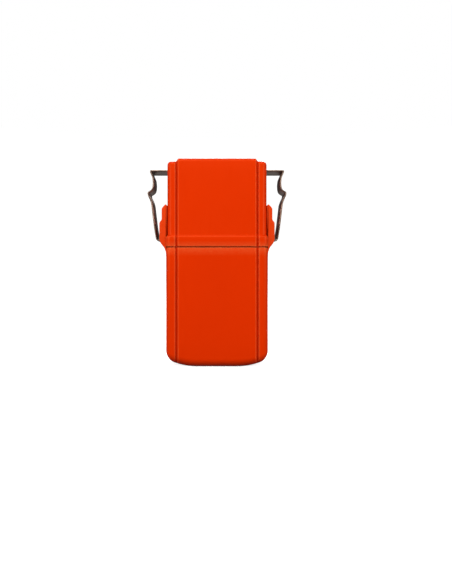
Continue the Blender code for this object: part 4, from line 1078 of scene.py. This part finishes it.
def build_stage():
    """A bowl: a flat floor that curves up all round. The camera sees it as a white sheet with its
    own glow. To bounced light it is grey card, so that the case keeps its dark lower edges."""
    flat = np.linspace(0, 0.9, 8)
    bend = arc((0.9, 0.5), 0.5, -90, -5, 14)
    profile = np.concatenate([np.stack([flat, 0 * flat], 1), bend[1:]])
    angle = np.linspace(0, 2 * np.pi, 96, endpoint=False)
    radius, z = profile[:, :1], profile[:, 1:]
    points = np.stack([radius * np.cos(angle), radius * np.sin(angle), z + 0 * angle], -1)
    paper, shader, tree = finish("pale_card", "ffffff", 0.9)
    sight = node(tree, "ShaderNodeLightPath")
    tone = node(
        tree,
        "ShaderNodeMix",
        {6: linear("6a6a6a"), 7: linear("ffffff")},
        {0: sight.outputs["Is Camera Ray"]},
        data_type="RGBA",
    )
    tree.links.new(tone.outputs[2], shader.inputs["Base Color"])
    shader.inputs["Emission Color"].default_value = linear("ffffff")
    glow = node(
        tree, "ShaderNodeMath", {1: 0.8}, {0: sight.outputs["Is Camera Ray"]}, operation="MULTIPLY"
    )
    tree.links.new(glow.outputs[0], shader.inputs["Emission Strength"])
    floor = grid_piece("studio_floor", points, paper)


def area_light(name, place, target, size, power):
    light = bpy.data.lights.new(name, "AREA")
    light.shape, light.size, light.energy = "SQUARE", size, power
    lamp = bpy.data.objects.new(name, light)
    lamp.location = place
    lamp.rotation_euler = (Vector(target) - Vector(place)).to_track_quat("-Z", "Y").to_euler()
    bpy.context.scene.collection.objects.link(lamp)


def build_lights():
    """A large key high in front, two tall side strips that draw a bright line down each rounded
    corner, a back light, and a dim room that the camera sees white."""
    middle_of_case = (0, 0, CASE_TOP / 2)
    area_light("key", (-0.1, -0.6, 0.62), (0, 0, CASE_TOP * 0.8), 0.5, 4.2)
    for side in (-1, 1):
        area_light(f"strip_{side}", (side * 0.42, -0.3, 0.16), middle_of_case, 0.16, 0.9)
    area_light("back", (0.1, 0.7, 0.7), middle_of_case, 0.6, 9.0)
    world = bpy.data.worlds.new("dim_room")
    world.use_nodes = True
    tree = world.node_tree
    sight = node(tree, "ShaderNodeLightPath")
    strength = node(
        tree,
        "ShaderNodeMapRange",
        {"To Min": 0.2, "To Max": 1.0},
        {"Value": sight.outputs["Is Camera Ray"]},
    )
    tree.links.new(strength.outputs[0], tree.nodes["Background"].inputs["Strength"])
    tree.nodes["Background"].inputs["Color"].default_value = linear("ffffff")
    bpy.context.scene.world = world


def build_camera():
    """A level camera straight in front of the case, a third of a metre from its face."""
    distance, eye_height = 0.33, CASE_TOP / 2
    lens = bpy.data.cameras.new("camera")
    lens.lens, lens.sensor_width = 33.5, 36.0
    lens.shift_x, lens.shift_y = 0.0154, -0.0503
    lens.clip_start = 0.01
    camera = bpy.data.objects.new("camera", lens)
    camera.location = (0, -BODY_FACE - distance, eye_height)
    camera.rotation_euler = (math.pi / 2, 0, 0)
    bpy.context.scene.collection.objects.link(camera)
    bpy.context.scene.camera = camera


bpy.context.scene.view_settings.view_transform = "Standard"
build_camera()
build_case_body()
build_ears()
build_cap()
build_latches()
build_plate()
build_dial_numbers()
build_knob()
build_button_and_plug()
build_lens()
build_screws([f"plate_screw_{i}" for i in range(1, 5)], "+Y", "case")
build_screws(["deck_screw_left", "deck_screw_right"], "+Z", "case")
build_cells()
finish_cad_nodes()
build_stage()
build_lights()
